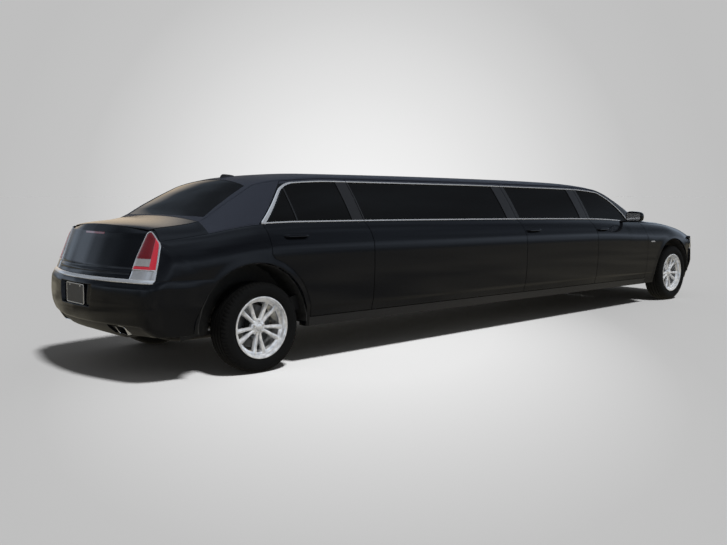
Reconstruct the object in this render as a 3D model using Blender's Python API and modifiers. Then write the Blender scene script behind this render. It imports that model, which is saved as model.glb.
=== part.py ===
# Stretch limousine: a large four-door saloon lengthened behind its front doors, with a fifth
# door on its right side. Metres, +X forward, +Y left, +Z up, origin on the ground under the middle.
# The body is drawn level in a frame of its own and then set on its springs, nose a little down.
import math

import bmesh
import bpy
import numpy as np
from mathutils import Matrix, Vector

# Driving sizes
BASE_WHEELBASE = 3.053
STRETCH = 3.556
FRONT_OVERHANG = 0.884
REAR_OVERHANG = 1.107
HALF_WIDTH = 0.9525
WHEEL_OUT = 0.81
WHEEL_Z = 0.355
TYRE_WIDTH = 0.235
TYRE_BEAD = 0.229
RIM_LIP = 0.2435
HUB_RADIUS = 0.075
STUB_RADIUS = 0.030
STEER_OUT = 0.715
REST_LIFT = 0.0836
RAKE = math.radians(0.5635)
RAKE_PIVOT_Z = 0.47
TOUCH = 0.0003
SEAT_CLEAR = 0.0010
EDGE_CLEAR = 0.0006
GLASS_CLEAR = 0.0006
SHUT_GAP = 0.006
DOOR_DEPTH = 0.090
FRAME_DEPTH = 0.035
POST_DEPTH = 0.022
ROOF_DEPTH = 0.050
LID_DEPTH = 0.030
FENDER_DEPTH = 0.050
QUARTER_EASE = 0.004
BUMPER_DEPTH = 0.040
LAMP_DEPTH = 0.060
GLASS_DEPTH = 0.005
GLASS_RECESS = 0.010
REBATE = 0.030
LAP = 0.016
CROWD = 0.0015
CUT_OUT = 1.2
REAR_ARCH_R = 0.510
REAR_ARCH_X = -0.07
REAR_ARCH_Z = 0.240
FRONT_ARCH_R = 0.455
FRONT_ARCH_X = -0.04
FRONT_ARCH_Z = 0.305
BUMPER_SEAM = 0.462
ARCH_FLANGE = 0.045
DOOR_LAP_BACK = 0.020
FLOOR_Z = 0.215
FLOOR_DEPTH = 0.045

# Worked out from them
LENGTH = BASE_WHEELBASE + STRETCH + FRONT_OVERHANG + REAR_OVERHANG
REAR_X = REAR_OVERHANG - LENGTH / 2
FRONT_X = REAR_X + BASE_WHEELBASE + STRETCH
TAIL_X = REAR_X - REAR_OVERHANG
NOSE_X = FRONT_X + FRONT_OVERHANG

# Shut lines and posts, ahead of the rear axle or of the front axle
REAR_DOOR_FRONT = REAR_X + 1.165
FIFTH_DOOR_REAR = FRONT_X - 3.249
FIFTH_DOOR_FRONT = FRONT_X - 1.879
FRONT_DOOR_FRONT = FRONT_X - 0.724
PILLAR_FOOT = FRONT_X - 0.895

# Places along a section: 0 sill, 1 belt, 2 roof rail or shoulder, 3 middle of the top
DOOR_LOW = 0.095
DOOR_TOP = 1.955
GLASS_LOW = 1.03
GLASS_TOP = 1.885

# Body sections: the axle each is set out from, distance ahead of it, heights of sill, belt, rail
# and top, half-widths of side, belt and rail
SECTIONS = [
    ("rear", -1.107, 0.250, 0.880, 0.940, 0.975, 0.840, 0.700, 0.600),
    ("rear", -0.920, 0.240, 0.915, 0.990, 1.022, 0.855, 0.730, 0.625),
    ("rear", -0.770, 0.230, 0.932, 1.012, 1.048, 0.878, 0.762, 0.640),
    ("rear", -0.400, 0.220, 0.978, 1.062, 1.096, 0.935, 0.795, 0.655),
    ("rear", -0.200, 0.215, 1.010, 1.170, 1.215, 0.945, 0.803, 0.635),
    ("rear", 0.000, 0.210, 1.035, 1.278, 1.335, 0.950, 0.806, 0.600),
    ("rear", 0.160, 0.208, 1.042, 1.352, 1.402, 0.9525, 0.808, 0.562),
    ("rear", 0.450, 0.205, 1.047, 1.400, 1.440, 0.9525, 0.8085, 0.540),
    ("rear", 1.000, 0.205, 1.047, 1.430, 1.470, 0.9525, 0.8085, 0.525),
    ("rear", 2.600, 0.205, 1.042, 1.430, 1.478, 0.9525, 0.807, 0.525),
    ("front", -2.800, 0.205, 1.034, 1.422, 1.474, 0.9525, 0.804, 0.532),
    ("front", -1.880, 0.205, 1.024, 1.410, 1.462, 0.9525, 0.800, 0.548),
    ("front", -1.460, 0.205, 1.012, 1.382, 1.440, 0.9520, 0.798, 0.572),
    ("front", -1.270, 0.205, 1.003, 1.335, 1.386, 0.9515, 0.797, 0.600),
    ("front", -1.130, 0.205, 0.994, 1.270, 1.320, 0.9510, 0.796, 0.635),
    ("front", -0.970, 0.205, 0.985, 1.188, 1.243, 0.9505, 0.796, 0.672),
    ("front", -0.800, 0.205, 0.978, 1.098, 1.160, 0.9500, 0.797, 0.703),
    ("front", -0.620, 0.206, 0.971, 1.014, 1.072, 0.9500, 0.798, 0.722),
    ("front", -0.480, 0.207, 0.964, 0.984, 1.004, 0.9500, 0.799, 0.728),
    ("front", -0.100, 0.210, 0.938, 0.958, 0.984, 0.9480, 0.797, 0.705),
    ("front", 0.240, 0.210, 0.890, 0.912, 0.948, 0.9400, 0.785, 0.665),
    ("front", 0.480, 0.215, 0.846, 0.874, 0.912, 0.9120, 0.760, 0.630),
    ("front", 0.700, 0.225, 0.790, 0.822, 0.864, 0.8500, 0.700, 0.595),
    ("front", 0.884, 0.250, 0.715, 0.750, 0.790, 0.8000, 0.640, 0.560),
]

# Side of the body from sill to belt: share of the height, how far it lies in from the side
SIDE_FORM = [
    (0.000, 0.0525),
    (0.095, 0.0375),
    (0.167, 0.0285),
    (0.190, 0.0185),
    (0.256, 0.0125),
    (0.435, 0.0015),
    (0.565, 0.0000),
    (0.708, 0.0020),
    (0.792, 0.0105),
    (0.863, 0.0365),
    (0.935, 0.0775),
    (1.000, 0.1475),
]
SIDE_BULGE = 0.012

# Plan of each end: setback from the tip, half-width
REAR_PLAN = [
    (0.000, 0.00),
    (0.010, 0.20),
    (0.040, 0.40),
    (0.096, 0.62),
    (0.122, 0.71),
    (0.150, 0.79),
    (0.185, 0.845),
    (0.250, 0.872),
    (0.340, 0.888),
    (0.520, 0.922),
    (0.720, 0.942),
]
FRONT_PLAN = [
    (0.000, 0.00),
    (0.014, 0.20),
    (0.054, 0.40),
    (0.122, 0.60),
    (0.176, 0.70),
    (0.238, 0.795),
    (0.292, 0.855),
    (0.348, 0.897),
    (0.414, 0.930),
    (0.480, 0.940),
]

# Side view of each end: height, setback from the tip
REAR_PROFILE = [
    (0.235, 0.105),
    (0.300, 0.035),
    (0.400, 0.002),
    (0.470, 0.000),
    (0.580, 0.006),
    (0.625, 0.026),
    (0.650, 0.052),
    (0.721, 0.084),
    (0.800, 0.116),
    (0.932, 0.169),
    (1.012, 0.2005),
    (1.040, 0.222),
]
FRONT_PROFILE = [
    (0.205, 0.140),
    (0.280, 0.054),
    (0.380, 0.006),
    (0.400, 0.000),
    (0.470, 0.000),
    (0.600, 0.008),
    (0.700, 0.018),
    (0.770, 0.030),
    (0.815, 0.062),
]

COLOURS = {
    "paint": ((0.010, 0.011, 0.014), 0.12, 0.0),
    "vinyl": ((0.020, 0.022, 0.030), 0.55, 0.0),
    "chrome": ((0.78, 0.79, 0.80), 0.12, 1.0),
    "wheel": ((0.70, 0.71, 0.73), 0.18, 1.0),
    "rubber": ((0.018, 0.018, 0.019), 0.85, 0.0),
    "glass": ((0.008, 0.009, 0.011), 0.05, 0.0),
    "clear": ((0.75, 0.78, 0.80), 0.06, 0.0),
    "red": ((0.42, 0.010, 0.012), 0.12, 0.0),
    "iron": ((0.12, 0.12, 0.125), 0.55, 0.7),
    "black": ((0.020, 0.020, 0.022), 0.6, 0.0),
    "leather": ((0.030, 0.028, 0.027), 0.5, 0.0),
    "wood": ((0.16, 0.070, 0.030), 0.25, 0.0),
}

for old in list(bpy.data.objects):
    bpy.data.objects.remove(old, do_unlink=True)

car = bpy.data.collections.new("stretch_limousine")
cutters = bpy.data.collections.new("cutters")
bpy.context.scene.collection.children.link(car)
bpy.context.scene.collection.children.link(cutters)
cutters.hide_render = True


def axle_x(anchor):
    return REAR_X if anchor == "rear" else FRONT_X


STATION_X = np.array([axle_x(row[0]) + row[1] for row in SECTIONS])
STATION = np.array([row[2:] for row in SECTIONS])
ROOF_REAR = REAR_X - 0.400
# Panels have their depth downward behind the roof and ahead of the doors, inward between
TURNS = [ROOF_REAR - 0.005, ROOF_REAR - 0.001, PILLAR_FOOT - 0.0025, PILLAR_FOOT + 0.0025]
more_x = np.sort(np.concatenate([STATION_X, TURNS]))
STATION = np.array([[float(np.interp(x, STATION_X, column)) for column in STATION.T] for x in more_x])
STATION_X = more_x
FORM = np.array(SIDE_FORM)
BELT_INSET = SIDE_FORM[-1][1]


def section(x):
    """Heights and half-widths of the section at x: low, belt, rail, top, side, belt_w, rail_w."""
    return [float(np.interp(x, STATION_X, STATION[:, k])) for k in range(7)]


def skin(x, v):
    """Half-width and height of the skin at x, v sections up from the sill."""
    low, belt, rail, top, side, belt_w, rail_w = section(x)
    if v <= 1:
        inset = float(np.interp(v, FORM[:, 0], FORM[:, 1]))
        upper = min(max((v - 0.6) / 0.4, 0.0), 1.0)
        scale = 1 + upper * ((side - belt_w) / BELT_INSET - 1)
        return side - inset * scale, low + v * (belt - low)
    if v <= 2:
        g = v - 1
        bulge = SIDE_BULGE * 4 * g * (1 - g)
        return belt_w + g * (rail_w - belt_w) + bulge, belt + g * (rail - belt)
    w = 3 - v
    return w * rail_w, top - (top - rail) * w * w


def level(x, z):
    """How many sections up the height z is on the side at x."""
    low, belt, rail = section(x)[:3]
    return (z - low) / (belt - low) if z <= belt else 1 + (z - belt) / (rail - belt)


def material(finish):
    if finish in bpy.data.materials:
        return bpy.data.materials[finish]
    colour, rough, metal = COLOURS[finish]
    made = bpy.data.materials.new(finish)
    made.use_nodes = True
    shader = made.node_tree.nodes["Principled BSDF"]
    shader.inputs["Base Color"].default_value = (*colour, 1)
    shader.inputs["Roughness"].default_value = rough
    shader.inputs["Metallic"].default_value = metal
    return made


def empty(name, place, parent=None):
    made = bpy.data.objects.new(name, None)
    made.location = place
    made.parent = parent
    car.objects.link(made)
    return made


# The level body frame, lifted and tipped on its springs
body = empty("body_frame", (-RAKE_PIVOT_Z * math.sin(RAKE), 0, REST_LIFT))
body.rotation_euler = (0, RAKE, 0)


def finished(bm, name, finish, parent, origin=(0, 0, 0), hidden=False):
    """Makes an object of bm, its origin at that place of the parent's frame."""
    bmesh.ops.remove_doubles(bm, verts=bm.verts, dist=1e-6)
    bmesh.ops.recalc_face_normals(bm, faces=bm.faces)
    bmesh.ops.translate(bm, verts=bm.verts, vec=-Vector(origin))
    mesh = bpy.data.meshes.new(name)
    bm.to_mesh(mesh)
    bm.free()
    made = bpy.data.objects.new(name, mesh)
    made.parent = parent
    if hidden:
        made.hide_render = True
        made.display_type = "WIRE"
        made.location = origin
        cutters.objects.link(made)
        return made
    if isinstance(parent, bpy.types.Object) and parent.name.startswith("axis_"):
        made.location = (0, 0, 0)
    else:
        made.location = origin
    copy = material(finish).copy()
    copy.name = name
    mesh.materials.append(copy)
    mesh.set_sharp_from_angle(angle=math.radians(32))
    for face in mesh.polygons:
        face.use_smooth = True
    car.objects.link(made)
    return made


def add_grid(bm, outer, inner):
    """A closed slab between two grids of points that have the same rows and columns."""
    tops = [[bm.verts.new(p) for p in row] for row in outer]
    unders = [[bm.verts.new(p) for p in row] for row in inner]
    rows, columns = len(tops), len(tops[0])
    for i in range(rows - 1):
        for j in range(columns - 1):
            for sheet in (tops, unders):
                bm.faces.new((sheet[i][j], sheet[i + 1][j], sheet[i + 1][j + 1], sheet[i][j + 1]))
    rim = [(0, j) for j in range(columns - 1)]
    rim += [(i, columns - 1) for i in range(rows - 1)]
    rim += [(rows - 1, j) for j in range(columns - 1, 0, -1)]
    rim += [(i, 0) for i in range(rows - 1, 0, -1)]
    for (i, j), (m, n) in zip(rim, rim[1:] + rim[:1]):
        bm.faces.new((tops[i][j], tops[m][n], unders[m][n], unders[i][j]))


def add_box(bm, low, high):
    size = [b - a for a, b in zip(low, high)]
    middle = [(a + b) / 2 for a, b in zip(low, high)]
    made = bmesh.ops.create_cube(bm, size=1.0)["verts"]
    bmesh.ops.transform(bm, verts=made, matrix=Matrix.Translation(middle) @ Matrix.Diagonal((*size, 1)))
    return made


def add_rod(bm, start, end, radius, sides=16):
    start, end = Vector(start), Vector(end)
    along = end - start
    turn = along.to_track_quat("Z", "Y").to_matrix().to_4x4()
    made = bmesh.ops.create_cone(
        bm, cap_ends=True, segments=sides, radius1=radius, radius2=radius, depth=along.length
    )["verts"]
    bmesh.ops.transform(bm, verts=made, matrix=Matrix.Translation((start + end) / 2) @ turn)
    return made


def add_prism(bm, outline, axis, low, high):
    """An outline in the plane square to axis, carried from low to high along it."""
    def place(a, b, c):
        return (c, a, b) if axis == 0 else (a, c, b) if axis == 1 else (a, b, c)
    first = [bm.verts.new(place(a, b, low)) for a, b in outline]
    second = [bm.verts.new(place(a, b, high)) for a, b in outline]
    bm.faces.new(first)
    bm.faces.new(second)
    for k in range(len(outline)):
        n = (k + 1) % len(outline)
        bm.faces.new((first[k], first[n], second[n], second[k]))


def cut(target, cutter, operation="DIFFERENCE"):
    made = target.modifiers.new(cutter.name, "BOOLEAN")
    made.operation = operation
    made.object = cutter
    made.solver = "EXACT"


def cutter_of(name, parent, build):
    bm = bmesh.new()
    build(bm)
    return finished(bm, name, None, parent, hidden=True)


def joined(name, finish, parent, pieces, origin=(0, 0, 0)):
    """One solid of overlapping pieces: each piece is a function that fills a bmesh."""
    solids = []
    for piece in pieces:
        bm = bmesh.new()
        piece(bm)
        solids.append(bm)
    made = finished(solids[0], name, finish, parent, origin)
    for k, bm in enumerate(solids[1:], 1):
        bmesh.ops.recalc_face_normals(bm, faces=bm.faces)
        bmesh.ops.translate(bm, verts=bm.verts, vec=-Vector(origin))
        mesh = bpy.data.meshes.new(f"{name}_add_{k}")
        bm.to_mesh(mesh)
        bm.free()
        extra = bpy.data.objects.new(f"{name}_add_{k}", mesh)
        extra.parent = made
        extra.hide_render = True
        extra.display_type = "WIRE"
        cutters.objects.link(extra)
        cut(made, extra, "UNION")
    return made


def wall(v):
    """Depth of a side panel, measured across the car: doors thin out above the belt."""
    return float(np.interp(v, [0.9, 1.02], [DOOR_DEPTH, FRAME_DEPTH]))


def inward(x, v):
    """Direction of a panel's depth: straight in on the sides, down on the top."""
    tall = float(np.interp(x, TURNS, [0, 1, 1, 0]))
    turn_tall = float(np.interp(v, [2.0, 2.15], [0, 1]))
    turn_low = float(np.interp(v, [1.05, 1.6], [0, 1]))
    angle = math.radians(90) * (turn_low + (turn_tall - turn_low) * tall)
    return -math.cos(angle), -math.sin(angle)


def region_grid(rows, rear, front, depth, recess, trim):
    """Points of a panel between two edges: rows of (v, side), edges as functions of v."""
    first = min(rear(v) for v, _ in rows)
    last = max(front(v) for v, _ in rows)
    inner_x = [x for x in STATION_X if first + 0.02 < x < last - 0.02]
    points = []
    for k, (v, sign) in enumerate(rows):
        low, belt, rail, _, _, _, rail_w = section((rear(v) + front(v)) / 2)
        span = (belt - low, rail - belt, rail_w)[min(int(v), 2)]
        shift = trim / span if k == 0 else -trim / span if k == len(rows) - 1 else 0
        if k and v >= rows[0][0] and rows[0][1] != sign:
            shift = -shift
        v = v + shift
        start, end = rear(v) + trim, front(v) - trim
        line = [start]
        for j, x in enumerate(inner_x):
            line.append(min(max(x, start + CROWD * (j + 1)), end - CROWD * (len(inner_x) - j)))
        line.append(end)
        deep = depth(v) + recess(v)
        row = []
        for x in line:
            half, z = skin(x, v)
            across, down = inward(x, v)
            row.append((x, sign * (half + across * deep), z + down * deep))
        points.append(row)
    return points


def nothing(v):
    return 0.0


def panel(name, finish, rows, rear, front, depth, recess=nothing, trim=0.0, lap=LAP,
          parent=None, origin=(0, 0, 0)):
    """A slab of the skin: rows of (v, side), its rear and front edges as functions of v."""
    outer = region_grid(rows, rear, front, nothing, recess, trim)
    inner = region_grid(rows, rear, front, depth, recess, trim + lap)
    bm = bmesh.new()
    add_grid(bm, outer, inner)
    return finished(bm, name, finish, parent or body, origin)


def at(x):
    return lambda v: x


def side_rows(levels, sign):
    return [(v, sign) for v in levels]


LOWER_ROWS = [v for v, _ in SIDE_FORM if v >= DOOR_LOW]
DOOR_ROWS = LOWER_ROWS + [GLASS_LOW, 1.3, 1.6, DOOR_TOP]
FULL_ROWS = [0.0, 0.088] + LOWER_ROWS[1:] + [GLASS_LOW, 1.3, 1.6, DOOR_TOP]


def arch_edge(v, centre_x, centre_z, radius, side):
    """Where a circle about an arch's centre crosses the level v, ahead (+1) or behind (-1)."""
    z = skin(centre_x, v)[1] - centre_z
    return centre_x + side * math.sqrt(max(radius * radius - z * z, 0.0))


def rear_door_rear(v):
    if v > 1:
        return REAR_X + 0.050 + 0.40 * (v - 1)
    shut = arch_edge(v, REAR_X + REAR_ARCH_X, REAR_ARCH_Z, REAR_ARCH_R + ARCH_FLANGE, 1)
    return max(shut, REAR_X + 0.080)


def front_door_front(v):
    return float(np.interp(v, [1.0, GLASS_LOW], [FRONT_DOOR_FRONT, PILLAR_FOOT]))


def rear_glass_rear(v):
    return REAR_X + 0.125 + 0.39 * (v - 1)


def front_glass_front(v):
    ahead = [-0.985, -1.030, -1.130, -1.270, -1.390]
    return FRONT_X + float(np.interp(v, [GLASS_LOW, 1.35, 1.66, 1.82, GLASS_TOP], ahead))


half_gap = SHUT_GAP / 2

# Doors: name, side, rear edge, front edge, glass rear, glass front
DOORS = [
    ("rear_right", -1, rear_door_rear, at(REAR_DOOR_FRONT), rear_glass_rear, at(REAR_X + 1.036)),
    ("rear_left", 1, rear_door_rear, at(REAR_DOOR_FRONT), rear_glass_rear, at(REAR_X + 1.036)),
    ("fifth_right", -1, at(FIFTH_DOOR_REAR), at(FIFTH_DOOR_FRONT),
     at(FIFTH_DOOR_REAR + 0.060), at(FIFTH_DOOR_FRONT - 0.150)),
    ("front_right", -1, at(FIFTH_DOOR_FRONT), front_door_front,
     at(FIFTH_DOOR_FRONT + 0.050), front_glass_front),
    ("front_left", 1, at(FIFTH_DOOR_FRONT), front_door_front,
     at(FIFTH_DOOR_FRONT + 0.050), front_glass_front),
]
GLASS_ROWS = [GLASS_LOW, 1.35, 1.66, 1.82, GLASS_TOP]
HINGE_OUT = HALF_WIDTH + 0.004


def window_cutter(name, windows, sign):
    """The openings of some windows, carried straight through a panel across the car."""
    bm = bmesh.new()
    for rear, front in windows:
        grid = region_grid(side_rows(GLASS_ROWS, sign), rear, front, nothing, nothing, 0.0)
        near, far = ([[(x, sign * out, z) for x, _, z in row] for row in grid] for out in (0.35, 1.1))
        add_grid(bm, far, near)
    return finished(bm, name, None, body, hidden=True)


def make_door(name, sign, rear, front, glass_rear, glass_front):
    hinge_x = front(0.5)
    hinge = empty(f"axis_door_{name}", (hinge_x, sign * HINGE_OUT, 0), body)
    at_hinge = (hinge_x, sign * HINGE_OUT, 0)
    door = panel(f"door_{name}", "paint", side_rows(DOOR_ROWS, sign),
                 lambda v: rear(v) + half_gap, lambda v: front(v) - half_gap, wall,
                 parent=hinge, origin=at_hinge)
    cut(door, window_cutter(f"door_{name}_window", [(glass_rear, glass_front)], sign))
    panel(f"glass_{name}", "glass", side_rows(GLASS_ROWS, sign), glass_rear, glass_front,
          lambda v: GLASS_DEPTH, lambda v: GLASS_RECESS, trim=GLASS_CLEAR, lap=0.0,
          parent=hinge, origin=at_hinge)


for row in DOORS:
    make_door(*row)

# Stretched side panels with their fixed windows
LONG_GLASS = (at(REAR_DOOR_FRONT + 0.020), at(FIFTH_DOOR_REAR - 0.155))
FIFTH_GLASS = (at(FIFTH_DOOR_REAR + 0.060), at(FIFTH_DOOR_FRONT - 0.150))
fixed = {}
for word, sign, panel_front, windows in (
    ("right", -1, FIFTH_DOOR_REAR, [("", LONG_GLASS)]),
    ("left", 1, FIFTH_DOOR_FRONT, [("_rear", LONG_GLASS), ("_front", FIFTH_GLASS)]),
):
    side_panel = panel(f"side_panel_{word}", "paint", side_rows(DOOR_ROWS, sign),
                       at(REAR_DOOR_FRONT + half_gap), at(panel_front - half_gap), wall)
    fixed_windows = window_cutter(f"side_windows_{word}", [edges for _, edges in windows], sign)
    fixed[word] = fixed_windows
    cut(side_panel, fixed_windows)
    for tail, (rear, front) in windows:
        panel(f"side_glass_{word}{tail}", "glass", side_rows(GLASS_ROWS, sign), rear, front,
              lambda v: GLASS_DEPTH, lambda v: GLASS_RECESS, trim=GLASS_CLEAR, lap=0.0)


# Side frames: rocker below, and behind the doors the posts and rails that they shut against
def frame_recess(v):
    return 0.0 if v < 0.0885 else wall(v) + SEAT_CLEAR


def frame_front(v):
    levels = [0.863, 0.935, 1.0, GLASS_LOW]
    return float(np.interp(v, levels, [FRONT_DOOR_FRONT + 0.020, FRONT_DOOR_FRONT, FRONT_DOOR_FRONT,
                                          PILLAR_FOOT - half_gap]))


def frame_rear(v):
    return rear_door_rear(v) - DOOR_LAP_BACK


def opening_cutter(name, rear, front, sign):
    """A doorway through the side frame, smaller than its door by the rebate all round."""
    levels = [DOOR_LOW + 0.05, 0.3, 0.45, 0.6, 0.75, 0.9, 1.0, 1.06, 1.4, 1.7, DOOR_TOP - 0.085]
    back = [(rear(v) + REBATE, skin(rear(v) + REBATE, v)[1]) for v in levels]
    fore = [(front(v) - REBATE, skin(front(v) - REBATE, v)[1]) for v in levels]
    top = [(x, skin(x, levels[-1])[1]) for x in STATION_X
           if back[-1][0] + 0.05 < x < fore[-1][0] - 0.05]
    outline = back + top + list(reversed(fore))

    def build(bm):
        low, high = (0.35, 1.1) if sign > 0 else (-1.1, -0.35)
        add_prism(bm, outline, 1, low, high)
    return cutter_of(name, body, build)


ROOF_EDGE = DOOR_TOP + 0.015
FRAME_TOP = ROOF_EDGE - 0.001
FRAME_ROWS = [0.0, 0.088, 0.0886] + LOWER_ROWS[1:] + [GLASS_LOW, 1.3, 1.6, DOOR_TOP, FRAME_TOP]
for word, sign in (("right", -1), ("left", 1)):
    frame = panel(f"side_frame_{word}", "black", side_rows(FRAME_ROWS, sign), frame_rear, frame_front,
                  lambda v: POST_DEPTH + (DOOR_DEPTH + SEAT_CLEAR if v < 0.0885 else 0.0),
                  frame_recess, lap=0.0)
    cut(frame, opening_cutter(f"doorway_rear_{word}", rear_door_rear, at(REAR_DOOR_FRONT), sign))
    cut(frame, opening_cutter(f"doorway_front_{word}", at(FIFTH_DOOR_FRONT), front_door_front, sign))
    if sign < 0:
        cut(frame, opening_cutter(f"doorway_fifth_{word}", at(FIFTH_DOOR_REAR), at(FIFTH_DOOR_FRONT), sign))
    cut(frame, fixed[word])


# The two ends: a face whose setback depends on height and on half-width
def bow(plan, half):
    """Setback of an end's plan at a half-width."""
    return float(np.interp(half, [p[1] for p in plan], [p[0] for p in plan]))


def end_x(end, z, half):
    """X of an end's face at a height and a half-width."""
    profile = np.array(REAR_PROFILE if end == "rear" else FRONT_PROFILE)
    back = float(np.interp(z, profile[:, 0], profile[:, 1]))
    plan = REAR_PLAN if end == "rear" else FRONT_PLAN
    set_back = back + bow(plan, half)
    return TAIL_X + set_back if end == "rear" else NOSE_X - set_back


def meet_nose(v, back):
    """Where the level v meets the nose's face, less a distance."""
    x = FRONT_X + 0.7
    for _ in range(20):
        half, z = skin(x, v)
        x = min(end_x("front", z, half) - back, NOSE_X - 0.02)
    return x


# Quarter panels, fenders and the wheel arches through them
def quarter_front(v):
    if v < DOOR_LOW:
        return frame_rear(DOOR_LOW) - TOUCH
    return rear_door_rear(v) - half_gap


def fender_rear(v):
    if v < 0.0885:
        return FRONT_DOOR_FRONT + 0.020 + TOUCH
    return front_door_front(v) + half_gap


def fender_front(v):
    return meet_nose(max(v, NOSE_LEVEL), EDGE_STEP)


NOSE_LEVEL = 0.86
EDGE_STEP = 0.002
QUARTER_ROWS = [0.0, 0.088] + LOWER_ROWS[1:] + [GLASS_LOW, 1.3, 1.6, ROOF_EDGE - 0.003]
BUMPER_TOP = 0.648
NOSE_TOP = 0.778
arch_cutters = {}
for end, x, z, radius in (
    ("rear", REAR_X + REAR_ARCH_X, REAR_ARCH_Z, REAR_ARCH_R),
    ("front", FRONT_X + FRONT_ARCH_X, FRONT_ARCH_Z, FRONT_ARCH_R),
):
    arch_cutters[end] = cutter_of(
        f"{end}_arches", body,
        lambda bm: add_rod(bm, (x, -CUT_OUT, z), (x, CUT_OUT, z), radius, sides=48),
    )


def below_bumper(bm):
    add_box(bm, (TAIL_X - 0.1, -CUT_OUT, -0.1), (REAR_X - 0.30, CUT_OUT, BUMPER_TOP + TOUCH))


bumper_cutter = cutter_of("quarter_below_bumper", body, below_bumper)
nose_cutter = cutter_of("fender_over_bumper", body, lambda bm: add_box(
    bm, (FRONT_X + BUMPER_SEAM, -CUT_OUT, -0.1), (NOSE_X + 0.1, CUT_OUT, NOSE_TOP + TOUCH)))
QUARTER_REAR = REAR_X - 0.765
TAIL_SLANT = 0.100
TAIL_SLANT_TOP = 1.000


def quarter_tail(name, off, side):
    """A cutter behind (-1) or ahead (+1) of the slanted line where quarter panels meet tail lamps."""
    foot = (QUARTER_REAR - TAIL_SLANT - off, BUMPER_TOP)
    step = (foot[0] - TAIL_SLANT / (TAIL_SLANT_TOP - BUMPER_TOP) * 0.1, BUMPER_TOP - 0.1)
    line = [step, foot, (QUARTER_REAR - off, TAIL_SLANT_TOP), (QUARTER_REAR - off, 1.3)]
    far = TAIL_X - 0.1 if side < 0 else REAR_X
    return cutter_of(name, body, lambda bm: add_prism(
        bm, [(far, step[1]), *line, (far, 1.3)], 1, -CUT_OUT, CUT_OUT))


behind_quarter = quarter_tail("behind_quarter", 0.0, -1)
ahead_of_quarter = quarter_tail("ahead_of_quarter", TOUCH, 1)
for word, sign in (("right", -1), ("left", 1)):
    quarter = panel(f"quarter_panel_{word}", "paint", side_rows(QUARTER_ROWS, sign),
                    at(QUARTER_REAR - TAIL_SLANT - QUARTER_EASE), quarter_front,
                    lambda v: wall(v) - QUARTER_EASE, lap=0.0)
    cut(quarter, arch_cutters["rear"])
    cut(quarter, bumper_cutter)
    cut(quarter, behind_quarter)
    fender = panel(f"fender_{word}", "paint", side_rows(FULL_ROWS[:-1] + [ROOF_EDGE - 0.005], sign),
                   fender_rear, fender_front, lambda v: min(wall(v), FENDER_DEPTH) - QUARTER_EASE, lap=0.0)
    cut(fender, arch_cutters["front"])
    cut(fender, nose_cutter)


# Top of the body: roof with pillars, cowl and rear window surround
def across(low, middle=(2.0, 2.15, 2.4, 2.7)):
    right = [low, *[v for v in middle if v > low]]
    return [(v, -1) for v in right] + [(3.0, 1)] + [(v, 1) for v in reversed(right)]


ROOF_FRONT = FRONT_X - 0.560
roof = panel("roof", "vinyl", across(ROOF_EDGE), at(ROOF_REAR), at(ROOF_FRONT),
             lambda v: ROOF_DEPTH, lap=0.0)


def screen_outline(corners, trim):
    """Plan of a screen: corners are (x, half-width) from its low edge to its high one."""
    (low_x, low_w, low_bow), (high_x, high_w, high_bow) = corners
    away = 1 if low_x > high_x else -1
    steps = [-1, -0.6, 0, 0.6, 1]
    low = [(low_x + away * (low_bow * (1 - t * t) - trim), t * (low_w - trim)) for t in steps]
    high = [(high_x + away * (high_bow * (1 - t * t) + trim), t * (high_w - trim)) for t in steps]
    return low + list(reversed(high))


WINDSCREEN = ((FRONT_X - 0.730, 0.690, 0.105), (FRONT_X - 1.400, 0.555, 0.060))
REAR_WINDOW = ((REAR_X - 0.330, 0.615, 0.045), (REAR_X + 0.105, 0.530, -0.040))
for name, corners in (("windscreen", WINDSCREEN), ("rear_window", REAR_WINDOW)):
    hole = cutter_of(f"{name}_opening", body,
                     lambda bm: add_prism(bm, screen_outline(corners, 0.0), 2, 0.5, 2.0))
    cut(roof, hole)
    pane = cutter_of(f"{name}_outline", body,
                     lambda bm: add_prism(bm, screen_outline(corners, TOUCH), 2, 0.5, 2.0))
    x_low = min(p[0] for p in screen_outline(corners, 0.0)) - 0.03
    x_high = max(p[0] for p in screen_outline(corners, 0.0)) + 0.03
    screen = panel(name, "glass", across(2.005), at(x_low), at(x_high),
                   lambda v: GLASS_DEPTH * 1.6, lambda v: 0.004, lap=0.0)
    cut(screen, pane, "INTERSECT")


# Bonnet and boot lid
BONNET_REAR = ROOF_FRONT + SHUT_GAP


def bonnet_front(v):
    return meet_nose(v, 0.004)


bonnet_axis = (BONNET_REAR, 0, skin(BONNET_REAR, 3.0)[1] + 0.004)
bonnet_hinge = empty("axis_bonnet", bonnet_axis, body)
panel("bonnet", "paint", across(2.004, (2.2, 2.45, 2.7)), at(BONNET_REAR), bonnet_front,
      lambda v: LID_DEPTH, lap=0.0, parent=bonnet_hinge, origin=bonnet_axis)

LID_HALF = 0.610
LID_TO_LAMP = 0.0065
LID_FRONT = ROOF_REAR - SHUT_GAP
LID_LOW = 0.656
LID_FLARE_Z = [0.80, 0.932, 0.985, 1.000]
LID_FLARE = [0.0, 0.017, 0.027, 0.032]
lid_axis = (LID_FRONT, 0, skin(LID_FRONT, 3.0)[1] + 0.004)
lid_hinge = empty("axis_boot_lid", lid_axis, body)


def lid_edge(z):
    """Half-width of the lid's rear face, which widens to the deck."""
    return LID_HALF + float(np.interp(z, LID_FLARE_Z, LID_FLARE))


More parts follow.
